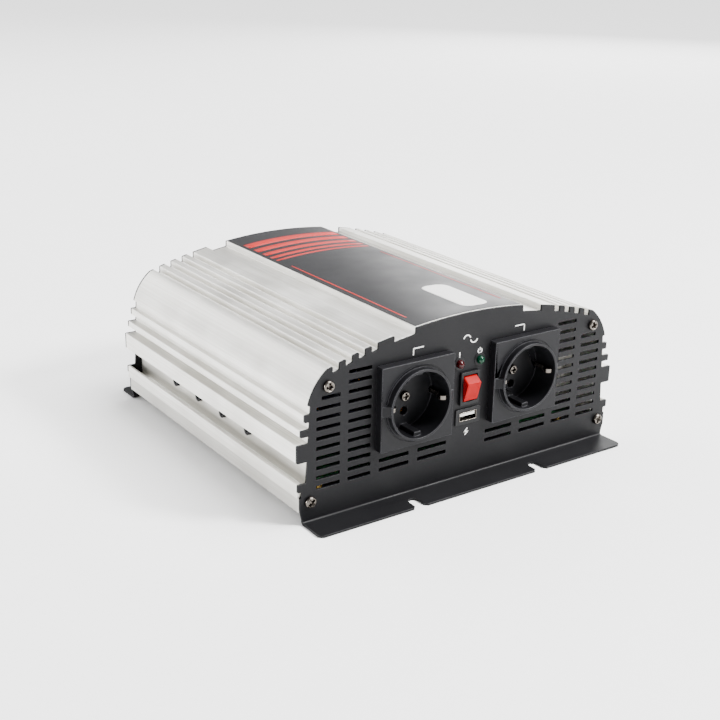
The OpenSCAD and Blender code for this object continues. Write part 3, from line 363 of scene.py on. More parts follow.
# Turned brass: warm yellow with fine rings
TURNED_BRASS = Finish(
    "brass_turned",
    "#cfae6a",
    "#b8964f",
    metallic=1.0,
    roughness=0.28,
    grain=Grain.TURNED_ACROSS_Y,
    grain_mm=0.25,
    relief_mm=0.004,
)
# Rolled copper bar, slightly dulled
ROLLED_COPPER = Finish(
    "copper_rolled", "#c98a63", "#a96d4a", metallic=1.0, roughness=0.35, grain_mm=0.6, relief_mm=0.004
)
# Glass-epoxy board under green solder mask, mottled by its tracks
SOLDER_MASK_BOARD = Finish(
    "glass_epoxy_solder_mask", "#1f6a3a", "#154a28", roughness=0.35, grain_mm=2.4, relief_mm=0.03, coat=0.2
)
# Sintered and ground ferrite: dark grey and dull
SINTERED_FERRITE = Finish(
    "ferrite_sintered", "#3b3b3d", "#2d2d2f", roughness=0.6, grain_mm=0.4, relief_mm=0.02
)
# Polyester tape over wound wire: amber, ribbed by the turns under it
TAPED_WINDING = Finish(
    "polyester_tape_wound",
    "#d3a33a",
    "#b5852a",
    roughness=0.35,
    grain=Grain.WOUND_UP_Z,
    grain_mm=1.2,
    relief_mm=0.1,
    coat=0.3,
)
# Enamelled copper wire on a ring core
ENAMELLED_COPPER = Finish(
    "copper_wire_enamelled", "#a65a28", "#7d3f18", metallic=0.6, roughness=0.3, grain_mm=1.4, relief_mm=0.1
)
# Shrunk vinyl sleeve of the capacitors: deep blue-black and glossy
VINYL_SLEEVE = Finish("vinyl_sleeve_shrunk", "#1b1d33", "#141526", roughness=0.3, relief_mm=0.004, coat=0.2)
# Moulded amber polycarbonate of the blade fuses
POLYCARBONATE_AMBER = Finish(
    "polycarbonate_moulded_amber", "#e0a21c", "#c98d12", roughness=0.25, relief_mm=0.004, subsurface_mm=0.8
)
# Silicone pad: pale grey and dull
SILICONE_PAD = Finish(
    "silicone_calendered", "#c9c9c4", "#b8b8b3", roughness=0.75, grain_mm=0.8, relief_mm=0.03
)
# Moulded polyester of the port's tongue: off-white
POLYESTER_WHITE = Finish("polyester_moulded_white", "#e6e4dd", "#d8d6cf", roughness=0.45, relief_mm=0.004)
# Printed polyester film: dark grey with a satin overlay
PRINTED_FILM = Finish(
    "polyester_film_printed", "#1f1f21", "#1b1b1d", roughness=0.4, ior=1.38, grain_mm=0.6, relief_mm=0.006
)
# Screen-printed inks, matt and a little uneven
WHITE_INK = Finish("screen_ink_white", "#ecebe8", "#dfdedb", roughness=0.55, grain_mm=0.4, relief_mm=0.004)
RED_INK = Finish(
    "screen_ink_red", "#b81712", "#a8120e", roughness=0.5, ior=1.4, grain_mm=0.4, relief_mm=0.004
)
# Matt white painted board of the studio floor
STUDIO_WHITE = Finish("paint_rolled_white", "#ffffff", "#fdfdfd", roughness=0.9, grain_mm=4.0, relief_mm=0.0)


def mesh_object(
    name: str, points: np.ndarray, faces: Sequence[Sequence[int]], closed: bool = True
) -> bpy.types.Object:
    """Makes a smooth-shaded object with sharp edges kept, its place in its mesh.

    Args:
        name: Name of the piece.
        points: Corner points in millimetres, one row each.
        faces: Corner numbers of each face.
        closed: Whether the surface is closed, so that its faces can be turned outwards.

    Returns:
        The new object, in metres.
    """
    mesh = bpy.data.meshes.new(name)
    mesh.from_pydata((points * MM).tolist(), [], faces)
    if closed:
        work = bmesh.new()
        work.from_mesh(mesh)
        bmesh.ops.recalc_face_normals(work, faces=work.faces)
        work.to_mesh(mesh)
        work.free()
    mesh.shade_smooth()
    mesh.set_sharp_from_angle(angle=math.radians(SMOOTH_DEG))
    piece = bpy.data.objects.new(name, mesh)
    bpy.context.scene.collection.objects.link(piece)
    return piece


def grid_faces(
    rows: int, columns: int, start: int = 0, around: bool = True, through: bool = False
) -> list[list[int]]:
    """Quads of a grid of points.

    Args:
        rows: Number of rows.
        columns: Points in each row.
        start: Number of the grid's first point.
        around: Whether each row is a closed ring.
        through: Whether the last row joins the first.

    Returns:
        Four corner numbers for each quad.
    """
    index = start + np.arange(rows * columns).reshape(rows, columns)
    if around:
        index = np.concatenate([index, index[:, :1]], axis=1)
    if through:
        index = np.concatenate([index, index[:1]])
    quads = np.stack([index[:-1, :-1], index[:-1, 1:], index[1:, 1:], index[1:, :-1]], axis=-1)
    return quads.reshape(-1, 4).tolist()


def ring_stacks(name: str, stacks: Sequence[np.ndarray]) -> bpy.types.Object:
    """Skins stacks of closed rings and closes both ends of each, all in one object.

    Args:
        name: Name of the piece.
        stacks: Arrays of shape (rings, points, 3) in millimetres.

    Returns:
        The new object.
    """
    faces: list[list[int]] = []
    start = 0
    for stack in stacks:
        rings, steps = stack.shape[:2]
        faces += grid_faces(rings, steps, start)
        last = start + (rings - 1) * steps
        faces.append(list(range(start, start + steps)))
        faces.append(list(range(last, last + steps)))
        start += rings * steps
    points = np.concatenate([stack.reshape(-1, 3) for stack in stacks])
    return mesh_object(name, points, faces)


def turned(radii: np.ndarray, along: np.ndarray, angles: np.ndarray) -> np.ndarray:
    """Rings about the local y axis: x = r cos a, z = r sin a, y as given.

    Args:
        radii: Radius of each ring, or of each ring at each angle.
        along: Place of each ring along y.
        angles: Angles of the points on a ring.

    Returns:
        Points of shape (rings, angles, 3).
    """
    radius = radii if radii.ndim == 2 else np.repeat(radii[:, None], len(angles), axis=1)
    height = np.repeat(along[:, None], len(angles), axis=1)
    return np.stack([radius * np.cos(angles), height, radius * np.sin(angles)], axis=-1)


def full_turn(steps: int) -> np.ndarray:
    """Evenly spaced angles of one turn."""
    return np.linspace(0, 2 * np.pi, steps, endpoint=False)


def rounded_outline(corners: np.ndarray, radius: float, steps: int = 6) -> np.ndarray:
    """Rounds the corners of a polygon: each becomes an arc tangent to its two sides.

    Args:
        corners: Corner points of shape (n, 2), in order.
        radius: Radius of the arcs.
        steps: Points on each arc.

    Returns:
        Points of the rounded outline.
    """
    before = np.roll(corners, 1, axis=0) - corners
    after = np.roll(corners, -1, axis=0) - corners
    before /= np.linalg.norm(before, axis=1, keepdims=True)
    after /= np.linalg.norm(after, axis=1, keepdims=True)
    half = np.arccos(np.clip((before * after).sum(1), -1, 1)) / 2
    reach = radius / np.tan(half)
    middle = (before + after) / np.linalg.norm(before + after, axis=1, keepdims=True)
    centre = corners + middle * (radius / np.sin(half))[:, None]
    first = corners + before * reach[:, None] - centre
    last = corners + after * reach[:, None] - centre
    share = np.linspace(0, 1, steps)[None, :, None]
    spread = (np.pi - 2 * half)[:, None, None]
    leaving = np.sin((1 - share) * spread) * first[:, None]
    coming = np.sin(share * spread) * last[:, None]
    arc = (leaving + coming) / np.sin(spread)
    return (centre[:, None] + arc).reshape(-1, 2)


class Frame:
    """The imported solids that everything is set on."""

    nodes: dict[str, bpy.types.Object] = {}

    @classmethod
    def load(cls) -> None:
        """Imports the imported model."""
        cls.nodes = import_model()["nodes"]

    @classmethod
    def dress(cls, finish: Finish, *names: str) -> None:
        """Gives solids a finish in place of their plain one.

        Args:
            finish: Finish to give.
            names: Nodes that take it.
        """
        for name in names:
            for slot in cls.nodes[name].material_slots:
                slot.material = finish.material()
            LOG.info("solid %s in %s", name, finish.name)


def settle(
    piece: bpy.types.Object, finish: Finish, body: str, replaced: Sequence[str] = ()
) -> None:
    """Dresses a finished piece and sets it on its body.

    Args:
        piece: The new piece.
        finish: Its finish.
        body: Body that it moves with.
        replaced: Nodes that it stands for.
    """
    piece.data.materials.clear()
    piece.data.materials.append(finish.material())
    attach(piece, body)
    if replaced:
        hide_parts(*replaced)
    LOG.info("piece %s on %s in %s", piece.name, body, finish.name)


class Edges(Enum):
    """Edges that a rounding takes, by Blender's word for them."""

    MARKED = "WEIGHT"
    SHARP = "ANGLE"


def rounding(piece: bpy.types.Object, name: str, width_mm: float, edges: Edges) -> None:
    """Adds a bevel that rounds edges.

    Args:
        piece: Piece to round.
        name: Name of the modifier.
        width_mm: Width of the rounding.
        edges: Edges that it takes.
    """
    bevel = piece.modifiers.new(name, "BEVEL")
    bevel.width = width_mm * MM
    bevel.segments = 2
    bevel.limit_method = edges.value
    bevel.angle_limit = math.radians(SHARP_DEG)
    bevel.use_clamp_overlap = False


def soft_copy(
    node: str, width_mm: float, corner_mm: float = 0.0, pierced: bool = False
) -> bpy.types.Object:
    """Copies a solid with its edges rounded as a real edge is.

    The copy's loose triangles are merged and its flat faces made whole, then a bevel rounds each sharp edge
    and weighted normals keep the flats flat. Edges along y, which are the corners of an extrusion's or a
    sheet's outline, may have a larger rounding of their own.

    Args:
        node: Solid to copy.
        width_mm: Width of the rounding.
        corner_mm: Width of the rounding on edges along y, if it is another.
        pierced: Whether a face has so many holes that it has to stay in convex parts.

    Returns:
        The copy, named for the node.
    """
    mesh = Frame.nodes[node].data.copy()
    work = bmesh.new()
    work.from_mesh(mesh)
    bmesh.ops.remove_doubles(work, verts=work.verts, dist=MERGE_M)
    bmesh.ops.dissolve_limit(
        work, angle_limit=math.radians(FLAT_DEG), verts=work.verts, edges=work.edges
    )
    if pierced:
        bmesh.ops.connect_verts_concave(work, faces=work.faces)
    weight = work.edges.layers.float.new("bevel_weight_edge")
    for edge in work.edges:
        way = edge.verts[1].co - edge.verts[0].co
        lengthwise = abs(way.y) > ALONG_Y * way.length
        if lengthwise and edge.is_manifold and edge.calc_face_angle() > math.radians(SHARP_DEG):
            edge[weight] = 1.0
    work.to_mesh(mesh)
    work.free()
    mesh.shade_smooth()
    piece = bpy.data.objects.new(f"{node}_dressed", mesh)
    bpy.context.scene.collection.objects.link(piece)
    if corner_mm:
        rounding(piece, "corner", corner_mm, Edges.MARKED)
    rounding(piece, "edge", width_mm, Edges.SHARP)
    normals = piece.modifiers.new("flats", "WEIGHTED_NORMAL")
    normals.keep_sharp = True
    return piece


def soften(
    node: str,
    finish: Finish,
    body: str,
    slot: str,
    width_mm: float,
    corner_mm: float = 0.0,
    pierced: bool = False,
) -> None:
    """Puts a soft-edged copy in a solid's place.

    Args:
        node: Solid to replace.
        finish: Finish of the copy.
        body: Body that it moves with.
        slot: Material slot that it belongs to; not used.
        width_mm: Width of the rounding.
        corner_mm: Width of the rounding on edges along y, if it is another.
        pierced: Whether a face has so many holes that it has to stay in convex parts.
    """
    settle(soft_copy(node, width_mm, corner_mm, pierced), finish, body, [node])


@dataclass(frozen=True)
class PanScrew:
    """Pan-head screw with a cross recess, about the local y axis: its seat at y = 0, its tip towards +y.

    The cross's arms are shares of the head's radius. A row of the dome is a share of the head's radius and of
    its height, and a row of the recess is a share of the cross and of the head's height.
    """

    head_r: float
    head_h: float
    shank_r: float
    length: float
    arm_length: float = 0.68
    arm_width: float = 0.24
    point: tuple[float, ...] = (0.02, 0.7, 1, 1)
    point_length: float = 0.6
    dome: tuple[tuple[float, float], ...] = (
        (0.96, 0),
        (1, 0.08),
        (1, 0.4),
        (0.97, 0.66),
        (0.91, 0.86),
        (0.83, 0.98),
        (0.76, 1),
    )
    recess: tuple[tuple[float, float], ...] = ((1.04, 1), (0.97, 0.94), (0.6, 0.1), (0.02, 0.02))
    steps: int = 96

    def rings(self, turn_deg: float = 0.0) -> np.ndarray:
        """Rings from the tip, over the shank and the domed head, into the recess.

        The recess is a cross in polar form: the nearer of an arm's end, l / cos t, and its side, w / sin t.

        Args:
            turn_deg: How far the screw is turned from an upright cross.

        Returns:
            Points of shape (rings, steps, 3).
        """
        angles = full_turn(self.steps)
        from_arm = (angles + np.pi / 4) % (np.pi / 2) - np.pi / 4
        to_end = self.arm_length * self.head_r / np.cos(from_arm)
        to_side = self.arm_width * self.head_r / np.maximum(np.abs(np.sin(from_arm)), 1e-3)
        dome_r, dome_y = np.array(self.dome).T
        recess_r, recess_y = np.array(self.recess).T
        plain = np.concatenate([np.array(self.point) * self.shank_r, dome_r * self.head_r])
        cross = recess_r[:, None] * np.minimum(to_end, to_side)
        radii = np.concatenate([np.repeat(plain[:, None], self.steps, axis=1), cross])
        shank = [self.length, self.length, self.length - self.point_length * self.shank_r, 0]
        along = np.concatenate([shank, -dome_y * self.head_h, -recess_y * self.head_h])
        return turned(radii, along, angles + math.radians(turn_deg))


class Plate(Enum):
    """End plate that carries a piece, by the signs that take local x, y and z to it: none or a half turn."""

    FRONT = (1, 1, 1)
    REAR = (-1, -1, 1)

    def place(self, points: np.ndarray, x: float, z: float) -> np.ndarray:
        """Sets local points on the plate's outer face, at x and z as seen by someone who looks at it."""
        return (points + np.array([x, -FACE_Y, z])) * np.array(self.value)


class Side(Enum):
    """Side of the front, as seen by someone who looks at it."""

    LEFT = "left"
    RIGHT = "right"


class Pole(Enum):
    """Pole of a terminal."""

    POSITIVE = "positive"
    NEGATIVE = "negative"


def stroke(x0: float, z0: float, x1: float, z1: float, width: float) -> np.ndarray:
    """Outline of a straight line of ink: its four corners.

    Args:
        x0: Start of the line along x.
        z0: Start of the line along z.
        x1: End of the line along x.
        z1: End of the line along z.
        width: Width of the line.

    Returns:
        Corner points of shape (4, 2).
    """
    start = np.array([x0, z0])
    end = np.array([x1, z1])
    along = (end - start) / np.linalg.norm(end - start)
    aside = np.array([-along[1], along[0]]) * width / 2
    return np.array([start - aside, end - aside, end + aside, start + aside])


def arc_stroke(
    x: float, z: float, radius: float, width: float, first_deg: float, last_deg: float, steps: int = 28
) -> np.ndarray:
    """Outline of a curved line of ink: an outer arc and back along the inner one.

    Args:
        x: Centre along x.
        z: Centre along z.
        radius: Radius of the line's middle.
        width: Width of the line.
        first_deg: Angle where it starts.
        last_deg: Angle where it ends.
        steps: Points on each arc.

    Returns:
        Points of the outline.
    """
    angles = np.radians(np.linspace(first_deg, last_deg, steps))
    ring = np.stack([np.cos(angles), np.sin(angles)], axis=-1)
    outer = ring * (radius + width / 2)
    inner = ring[::-1] * (radius - width / 2)
    return np.concatenate([outer, inner]) + np.array([x, z])


@dataclass
class PlatePrint:
    """Ink on an end plate: thin prisms with the marks' outlines, a little sunk into the plate's coat."""

    ink_t: float = 0.06
    sunk: float = 0.02
    front_line: float = 0.7
    ring_line: float = 0.55
    rear_line: float = 1.3
    earth_line: float = 0.8
    bracket_x: float = 41.8
    bracket_end_x: float = 34.5
    bracket_z: float = 91.3
    bracket_foot_z: float = 87.3
    wave_r: float = 2.6
    wave_z: float = 89.6
    lamp_x: float = 7.7
    terminal_x: float = 76.0
    terminal_sign_z: float = 77.0
    earth_x: float = -36.0

    def prism(self, outline: np.ndarray, plate: Plate) -> np.ndarray:
        """Two rings, one on the plate and one at the ink's surface.

        Args:
            outline: Points (x, z) of the mark, as seen from outside.
            plate: Plate that it is on.

        Returns:
            Points of shape (2, steps, 3).
        """
        depth = np.array([self.sunk, -self.ink_t])[:, None]
        flat = np.repeat(outline[None], 2, axis=0)
        local = np.stack([flat[..., 0], np.repeat(depth, len(outline), axis=1), flat[..., 1]], axis=-1)
        return plate.place(local, 0, 0)

    def front(self) -> None:
        """Bracket over the outlets and plain signs at the lamps and the port."""
        line = self.front_line
        ring = self.ring_line
        top = self.bracket_z
        marks = []
        for side in (-1, 1):
            x = side * self.bracket_x
            marks.append(stroke(x, self.bracket_foot_z, x, top + line / 2, line))
            marks.append(stroke(x + side * line / 2, top, side * self.bracket_end_x, top, line))
        wave = self.wave_r
        marks.append(arc_stroke(-wave, self.wave_z, wave, line, 15, 165))
        marks.append(arc_stroke(wave, self.wave_z, wave, line, 195, 345))
        fault = -self.lamp_x
        marks.append(stroke(fault, 80.4, fault, 82.6, line))
        marks.append(stroke(fault, 79.2, fault, 79.9, line))
        power = self.lamp_x
        marks.append(arc_stroke(power, 80.8, 1.5, ring, 125, 415))
        marks.append(stroke(power, 80.9, power, 82.9, ring))
        bolt = ((0.9, 32.6, -1.5, 30.4), (-1.7, 30.5, 1.7, 30.5), (1.5, 30.6, -0.9, 28.4))
        marks += [stroke(*ends, line) for ends in bolt]
        piece = ring_stacks("front_print", [self.prism(mark, Plate.FRONT) for mark in marks])
        settle(piece, WHITE_INK, "casing")

    def rear(self) -> None:
        """Polarity signs over the terminals and an earth sign by the earth screw."""
        line = self.rear_line
        x = self.terminal_x
        z = self.terminal_sign_z
        plus = ((x - 3, z, x + 3, z), (x, z - 3, x, z - 0.6), (x, z + 0.6, x, z + 3))
        minus = ((-x - 3, z, -x + 3, z),)
        marks = [stroke(*ends, line) for ends in plus + minus]
        x = self.earth_x
        bars = ((x - 3, 25.6, x + 3, 25.6), (x - 2, 24.1, x + 2, 24.1), (x - 1, 22.6, x + 1, 22.6))
        marks += [stroke(*ends, self.earth_line) for ends in ((x, 26, x, 29), *bars)]
        piece = ring_stacks("rear_print", [self.prism(mark, Plate.REAR) for mark in marks])
        settle(piece, WHITE_INK, "casing")


@dataclass
class Casing:
    """Extruded shell and tray, folded end plates, their screws and the printed label.

    A stripe of the label is given by where it starts along y and by its width.
    """

    edge: float = 0.2
    shell_corner: float = 0.5
    plate_corner: float = 0.55
    crown_r: float = 322.0
    crown_z: float = 106.0
    film_t: float = 0.25
    ink_gap: float = 0.01
    ink_t: float = 0.05
    upper_screw: tuple[float, float] = (99.5, 80.6)
    lower_screw: tuple[float, float] = (111.0, 13.65)
    screw: PanScrew = PanScrew(head_r=3.5, head_h=2.2, shank_r=1.5, length=12.0)
    screw_turns: tuple[float, ...] = (3.0, 20.0, 42.0, 65.0)
    stripes: tuple[tuple[float, float], ...] = ((92, 9), (78, 7), (66, 5.5), (56, 4), (48, 2.5))
    stripe_half: float = 37.0
    line_x: tuple[float, ...] = (-36.0, 35.2)
    line_y: tuple[float, float] = (-96.0, 30.0)
    line_w: float = 0.8
    sticker_x: tuple[float, float] = (2.0, 22.0)
    sticker_inset: float = 9.0
    sticker_length: float = 46.0
    sticker_corner: float = 6.0

    def build(self) -> None:
        """Makes the casing's pieces in order."""
        for node, finish in (("upper_shell", ANODISED_ALUMINIUM), ("base_tray", ANODISED_TRAY)):
            soften(node, finish, "casing", "aluminium_shell", self.edge, self.shell_corner)
        for node, pierced in (("front_plate", True), ("rear_plate", False)):
            widths = (self.edge, self.plate_corner)
            soften(node, CHARCOAL_POWDER_COAT, "casing", "painted_plate", *widths, pierced)
        self.screws()
        Frame.dress(BLACKENED_STEEL, "clamp_screws")
        Frame.dress(PRINTED_FILM, "top_label")
        self.label_print()
        prints = PlatePrint()
        prints.front()
        prints.rear()

    def screws(self) -> None:
        """Casing screws at the four corners of both plates, each left at its own turn."""
        places = [(side * x, z) for x, z in (self.upper_screw, self.lower_screw) for side in (-1, 1)]
        stacks = []
        for turn, (x, z) in zip(self.screw_turns, places):
            stacks.append(Plate.FRONT.place(self.screw.rings(turn), x, z))
            stacks.append(Plate.REAR.place(self.screw.rings(-turn), x, z))
        piece = ring_stacks("casing_screws", stacks)
        settle(piece, NICKEL_PLATED_STEEL, "casing", ["plate_screws"])

    def crown_sheet(
        self, name: str, along: np.ndarray, left: np.ndarray, right: np.ndarray
    ) -> bpy.types.Object:
        """Thin sheet that follows the crown: x from left to right at each y, z on the crown's circle.

        Args:
            name: Name of the piece.
            along: Places along y.
            left: Left edge at each place.
            right: Right edge at each place.

        Returns:
            The sheet, with the thickness of ink.
        """
        share = np.linspace(0, 1, 13)
        x = left[:, None] + (right - left)[:, None] * share
        y = np.repeat(along[:, None], len(share), axis=1)
        radius = self.crown_r + self.film_t + self.ink_gap
        z = self.crown_z - self.crown_r + np.sqrt(radius**2 - x**2)
        points = np.stack([x, y, z], axis=-1).reshape(-1, 3)
        sheet = mesh_object(name, points, grid_faces(*x.shape, around=False), closed=False)
        solid = sheet.modifiers.new("ink", "SOLIDIFY")
        solid.thickness = self.ink_t * MM
        solid.offset = 1.0
        return sheet

    def label_print(self) -> None:
        """Plain stripes across the film, a line along each side and a blank rounded sticker."""
        for number, (start, width) in enumerate(self.stripes, 1):
            along = np.linspace(start - width, start, 4)
            edge = np.full(len(along), self.stripe_half)
            band = self.crown_sheet(f"label_stripe_{number}", along, -edge, edge)
            settle(band, RED_INK, "casing")
        for number, x in enumerate(self.line_x, 1):
            along = np.linspace(*self.line_y, 8)
            edge = np.full(len(along), x)
            line = self.crown_sheet(f"label_line_{number}", along, edge, edge + self.line_w)
            settle(line, RED_INK, "casing")
        share = np.linspace(0, 1, 41)
        corner = self.sticker_corner
        from_end = np.minimum(share, 1 - share) * self.sticker_length
        inset = corner - np.sqrt(corner**2 - np.maximum(corner - from_end, 0) ** 2)
        along = -FACE_Y + self.sticker_inset + share * self.sticker_length
        left, right = self.sticker_x
        sticker = self.crown_sheet("label_sticker", along, left + inset, right - inset)
        settle(sticker, WHITE_INK, "casing")


@dataclass
class Outlet:
    """Earthed outlet on the front plate, about the middle of its well."""

    side: Side
    x: float
    z: float = 59.7
    floor_y: float = 8.1
    cover_edge: float = 0.3
    cover_corner: float = 0.6
    strap_edge: float = 0.15
    screw: PanScrew = PanScrew(head_r=3.1, head_h=2.0, shank_r=1.5, length=15.0)

    def build(self) -> None:
        """Makes the outlet's pieces in order."""
        side = self.side.value
        cover = f"{side}_socket_cover"
        strap = f"{side}_earth_strap"
        screw = f"{side}_socket_screw"
        soften(cover, POLYAMIDE_CHARCOAL, "casing", "outlet_plastic", self.cover_edge, self.cover_corner)
        soften(strap, NICKEL_PLATED_STEEL, "casing", "nickel_steel", self.strap_edge)
        rings = self.screw.rings() + np.array([0, self.floor_y, 0])
        piece = ring_stacks(f"{screw}_dressed", [Plate.FRONT.place(rings, self.x, self.z)])
        settle(piece, NICKEL_PLATED_STEEL, "casing", [screw])
        Frame.dress(ABS_BLACK, f"{side}_socket_base")
        Frame.dress(TURNED_BRASS, f"{side}_pin_contacts")


@dataclass
class Controls:
    """Rocker switch, lamps and charging port between the outlets."""

    switch_z: float = 59.2
    pivot_y: float = 1.5
    tilt_deg: float = 16.0
    half_w: float = 5.0
    front: float = 6.3
    front_half: float = 6.2
    side: float = 1.3
    side_half: float = 8.1
    back: float = 3.0
    back_half: float = 2.0
    dish: float = 0.35
    dish_from: float = 5.5
    corner_r: float = 0.5
    side_r: float = 0.45
    heart: tuple[float, float] = (-2.0, 0.0)
    pin_r: float = 1.0
    pin_half: float = 6.3
    pin_chamfer: float = 0.3
    bezel_edge: float = 0.25
    trim_edge: float = 0.2
    sheet_edge: float = 0.12

    def build(self) -> None:
        """Makes the controls' pieces in order."""
        soften("rocker_bezel", ABS_BLACK, "casing", "black_plastic", self.bezel_edge)
        self.rocker()
        Frame.dress(TURNED_BRASS, "rocker_terminals")
        Frame.dress(EPOXY_RED, "fault_lamp")
        Frame.dress(EPOXY_GREEN, "power_lamp")
        soften("lamp_holders", ABS_BLACK, "casing", "black_plastic", self.trim_edge)
        soften("port_bezel", ABS_BLACK, "casing", "black_plastic", self.trim_edge)
        soften("port_shell", NICKEL_PLATED_STEEL, "casing", "nickel_steel", self.sheet_edge)
        Frame.dress(POLYESTER_WHITE, "port_tongue")
        Frame.dress(SOLDER_MASK_BOARD, "lamp_board", "port_board")

    def tilted(self, points: np.ndarray) -> np.ndarray:
        """Turns local points (x, y, z) about the pivot and puts them on the plate."""
        angle = math.radians(self.tilt_deg)
        cos = math.cos(angle)
        sin = math.sin(angle)
        turn = np.array([[1, 0, 0], [0, cos, -sin], [0, sin, cos]])
        return Plate.FRONT.place(points @ turn.T + np.array([0, self.pivot_y, 0]), 0, self.switch_z)

    def rocker(self) -> None:
        """Rocker: a rounded wedge section carried across x, its two faces a little hollow, with its pins.

        The section shrinks towards its heart near each side, along a quarter circle, which rounds the
        side edges.
        """
        corners = np.array(
            [
                [-self.front, self.front_half],
                [-self.front, -self.front_half],
                [-self.side, -self.side_half],
                [0, -self.side_half],
                [self.back, -self.back_half],
                [self.back, self.back_half],
                [0, self.side_half],
                [-self.side, self.side_half],
            ]
        )
        outline = rounded_outline(corners, self.corner_r)
        across = np.linspace(-1, 1, 17)
        to_side = np.clip(1 - np.abs(across), 0, None) * self.half_w
        over = np.maximum(self.side_r - to_side, 0)
        shrink = self.side_r - np.sqrt(np.maximum(self.side_r**2 - over**2, 0))
        away = outline - np.array(self.heart)
        unit = away / np.linalg.norm(away, axis=1, keepdims=True)
        section = outline[None] - unit[None] * shrink[:, None, None]
        hollow = self.dish * (1 - across**2)[:, None] * (outline[:, 0] < -self.dish_from)[None]
        x = np.repeat(across[:, None] * self.half_w, len(outline), axis=1)
        body = np.stack([x, section[..., 0] + hollow, section[..., 1]], axis=-1)
        inner_r = self.pin_r - self.pin_chamfer
        inner_x = self.pin_half - self.pin_chamfer
        radii = np.array([inner_r, self.pin_r, self.pin_r, inner_r])
        places = np.array([-self.pin_half, -inner_x, inner_x, self.pin_half])
        pin = turned(radii, places, full_turn(32))[..., [1, 0, 2]]
        piece = ring_stacks("rocker_cap_dressed", [self.tilted(body), self.tilted(pin)])
        settle(piece, POLYCARBONATE_RED, "rocker", ["rocker_cap"])


@dataclass
class Fan:
    """Fan behind the rear plate: frame, bladed rotor, wire guard and screws."""

    z: float = 58.0
    hub_r: float = 15.5
    tip_r: float = 27.7
    front_y: float = 4.5
    back_y: float = 22.9
    shaft_r: float = 1.55
    blades: int = 7
    axial: float = 14.4
    hub_pitch_deg: float = 52.0
    tip_pitch_deg: float = 36.0
    blade_t: float = 1.5
    camber: float = 1.2
    root_in: float = 0.6
    end_gap: float = 0.6
    rim_r: float = 1.4
    recess_r: float = 8.0
    recess_d: float = 0.25
    recess_wall: float = 0.3
    chamfer: float = 0.4
    shaft_y: float = 4.0
    hole: float = 25.0
    wire_d: float = 2.0
    frame_edge: float = 0.4
    screw: PanScrew = PanScrew(head_r=3.9, head_h=2.0, shank_r=2.0, length=24.5)

    def build(self) -> None:
        """Makes the fan's pieces in order."""
        soften("fan_frame", ABS_BLACK, "casing", "black_plastic", self.frame_edge)
        self.rotor()
        Frame.dress(NICKEL_PLATED_STEEL, "fan_guard")
        rings = self.screw.rings() + np.array([0, -self.wire_d, 0])
        corners = [(x * self.hole, self.z + z * self.hole) for x in (-1, 1) for z in (-1, 1)]
        stacks = [Plate.REAR.place(rings, x, z) for x, z in corners]
        piece = ring_stacks("fan_screws_dressed", stacks)
        settle(piece, NICKEL_PLATED_STEEL, "casing", ["fan_screws"])

    def blade(self, turn: float) -> np.ndarray:
        """One blade: a cambered section carried from the hub to the tip while its pitch falls.

        At radius r a chord point s and its height h go round by (s cos p - h sin p) / r and along by
        s sin p + h cos p, with p the pitch there.

        Args:
            turn: Angle of the blade about the shaft.

        Returns:
            Rings of shape (stations, section points, 3).
        """
        out = np.linspace(0, 1, 13)[:, None]
        radius = self.hub_r - self.root_in + out * (self.tip_r - self.hub_r + self.root_in)
        pitch = np.radians(self.hub_pitch_deg + out * (self.tip_pitch_deg - self.hub_pitch_deg))
        loop = full_turn(28)[None]
        chord = self.axial / np.sin(pitch)
        s = np.cos(loop) / 2
        body = np.sqrt(np.clip(1 - (2 * s) ** 2, 0, 1))
        height = np.sign(np.sin(loop)) * body * self.blade_t / 2 + self.camber * (1 - (2 * s) ** 2)
        s = s * chord
        angle = turn + (s * np.cos(pitch) - height * np.sin(pitch)) / radius
        middle = (self.front_y + self.back_y) / 2
        y = middle + s * np.sin(pitch) + height * np.cos(pitch)
        y = np.clip(y, self.front_y + self.end_gap, self.back_y - self.end_gap)
        return np.stack([radius * np.sin(angle), y, radius * np.cos(angle)], axis=-1)

    def rotor(self) -> None:
        """Hub with a sunk middle and a rounded front edge, and its blades."""
        angles = full_turn(72)
        rim = self.rim_r
        turn = np.radians(np.linspace(90, 0, 7))
        edge_r = self.hub_r - rim + rim * np.cos(turn)
        edge_y = self.front_y + rim - rim * np.sin(turn)
        face_r = [POLE_R, self.recess_r, self.recess_r + self.recess_wall]
        face_y = [self.front_y + self.recess_d, self.front_y + self.recess_d, self.front_y]
        back_r = [self.hub_r, self.hub_r - self.chamfer, self.shaft_r, self.shaft_r, POLE_R]
        shaft_end = self.front_y + self.shaft_y
        back_y = [self.back_y - self.chamfer, self.back_y, self.back_y, shaft_end, shaft_end]
        radii = np.concatenate([face_r, edge_r, back_r])
        along = np.concatenate([face_y, edge_y, back_y])
        hub = turned(radii, along, angles)
        blades = [self.blade(number * 2 * np.pi / self.blades) for number in range(self.blades)]
        stacks = [Plate.REAR.place(rings, 0, self.z) for rings in [hub, *blades]]
        piece = ring_stacks("fan_rotor_dressed", stacks)
        settle(piece, PBT_GREY, "fan", ["fan_rotor"])


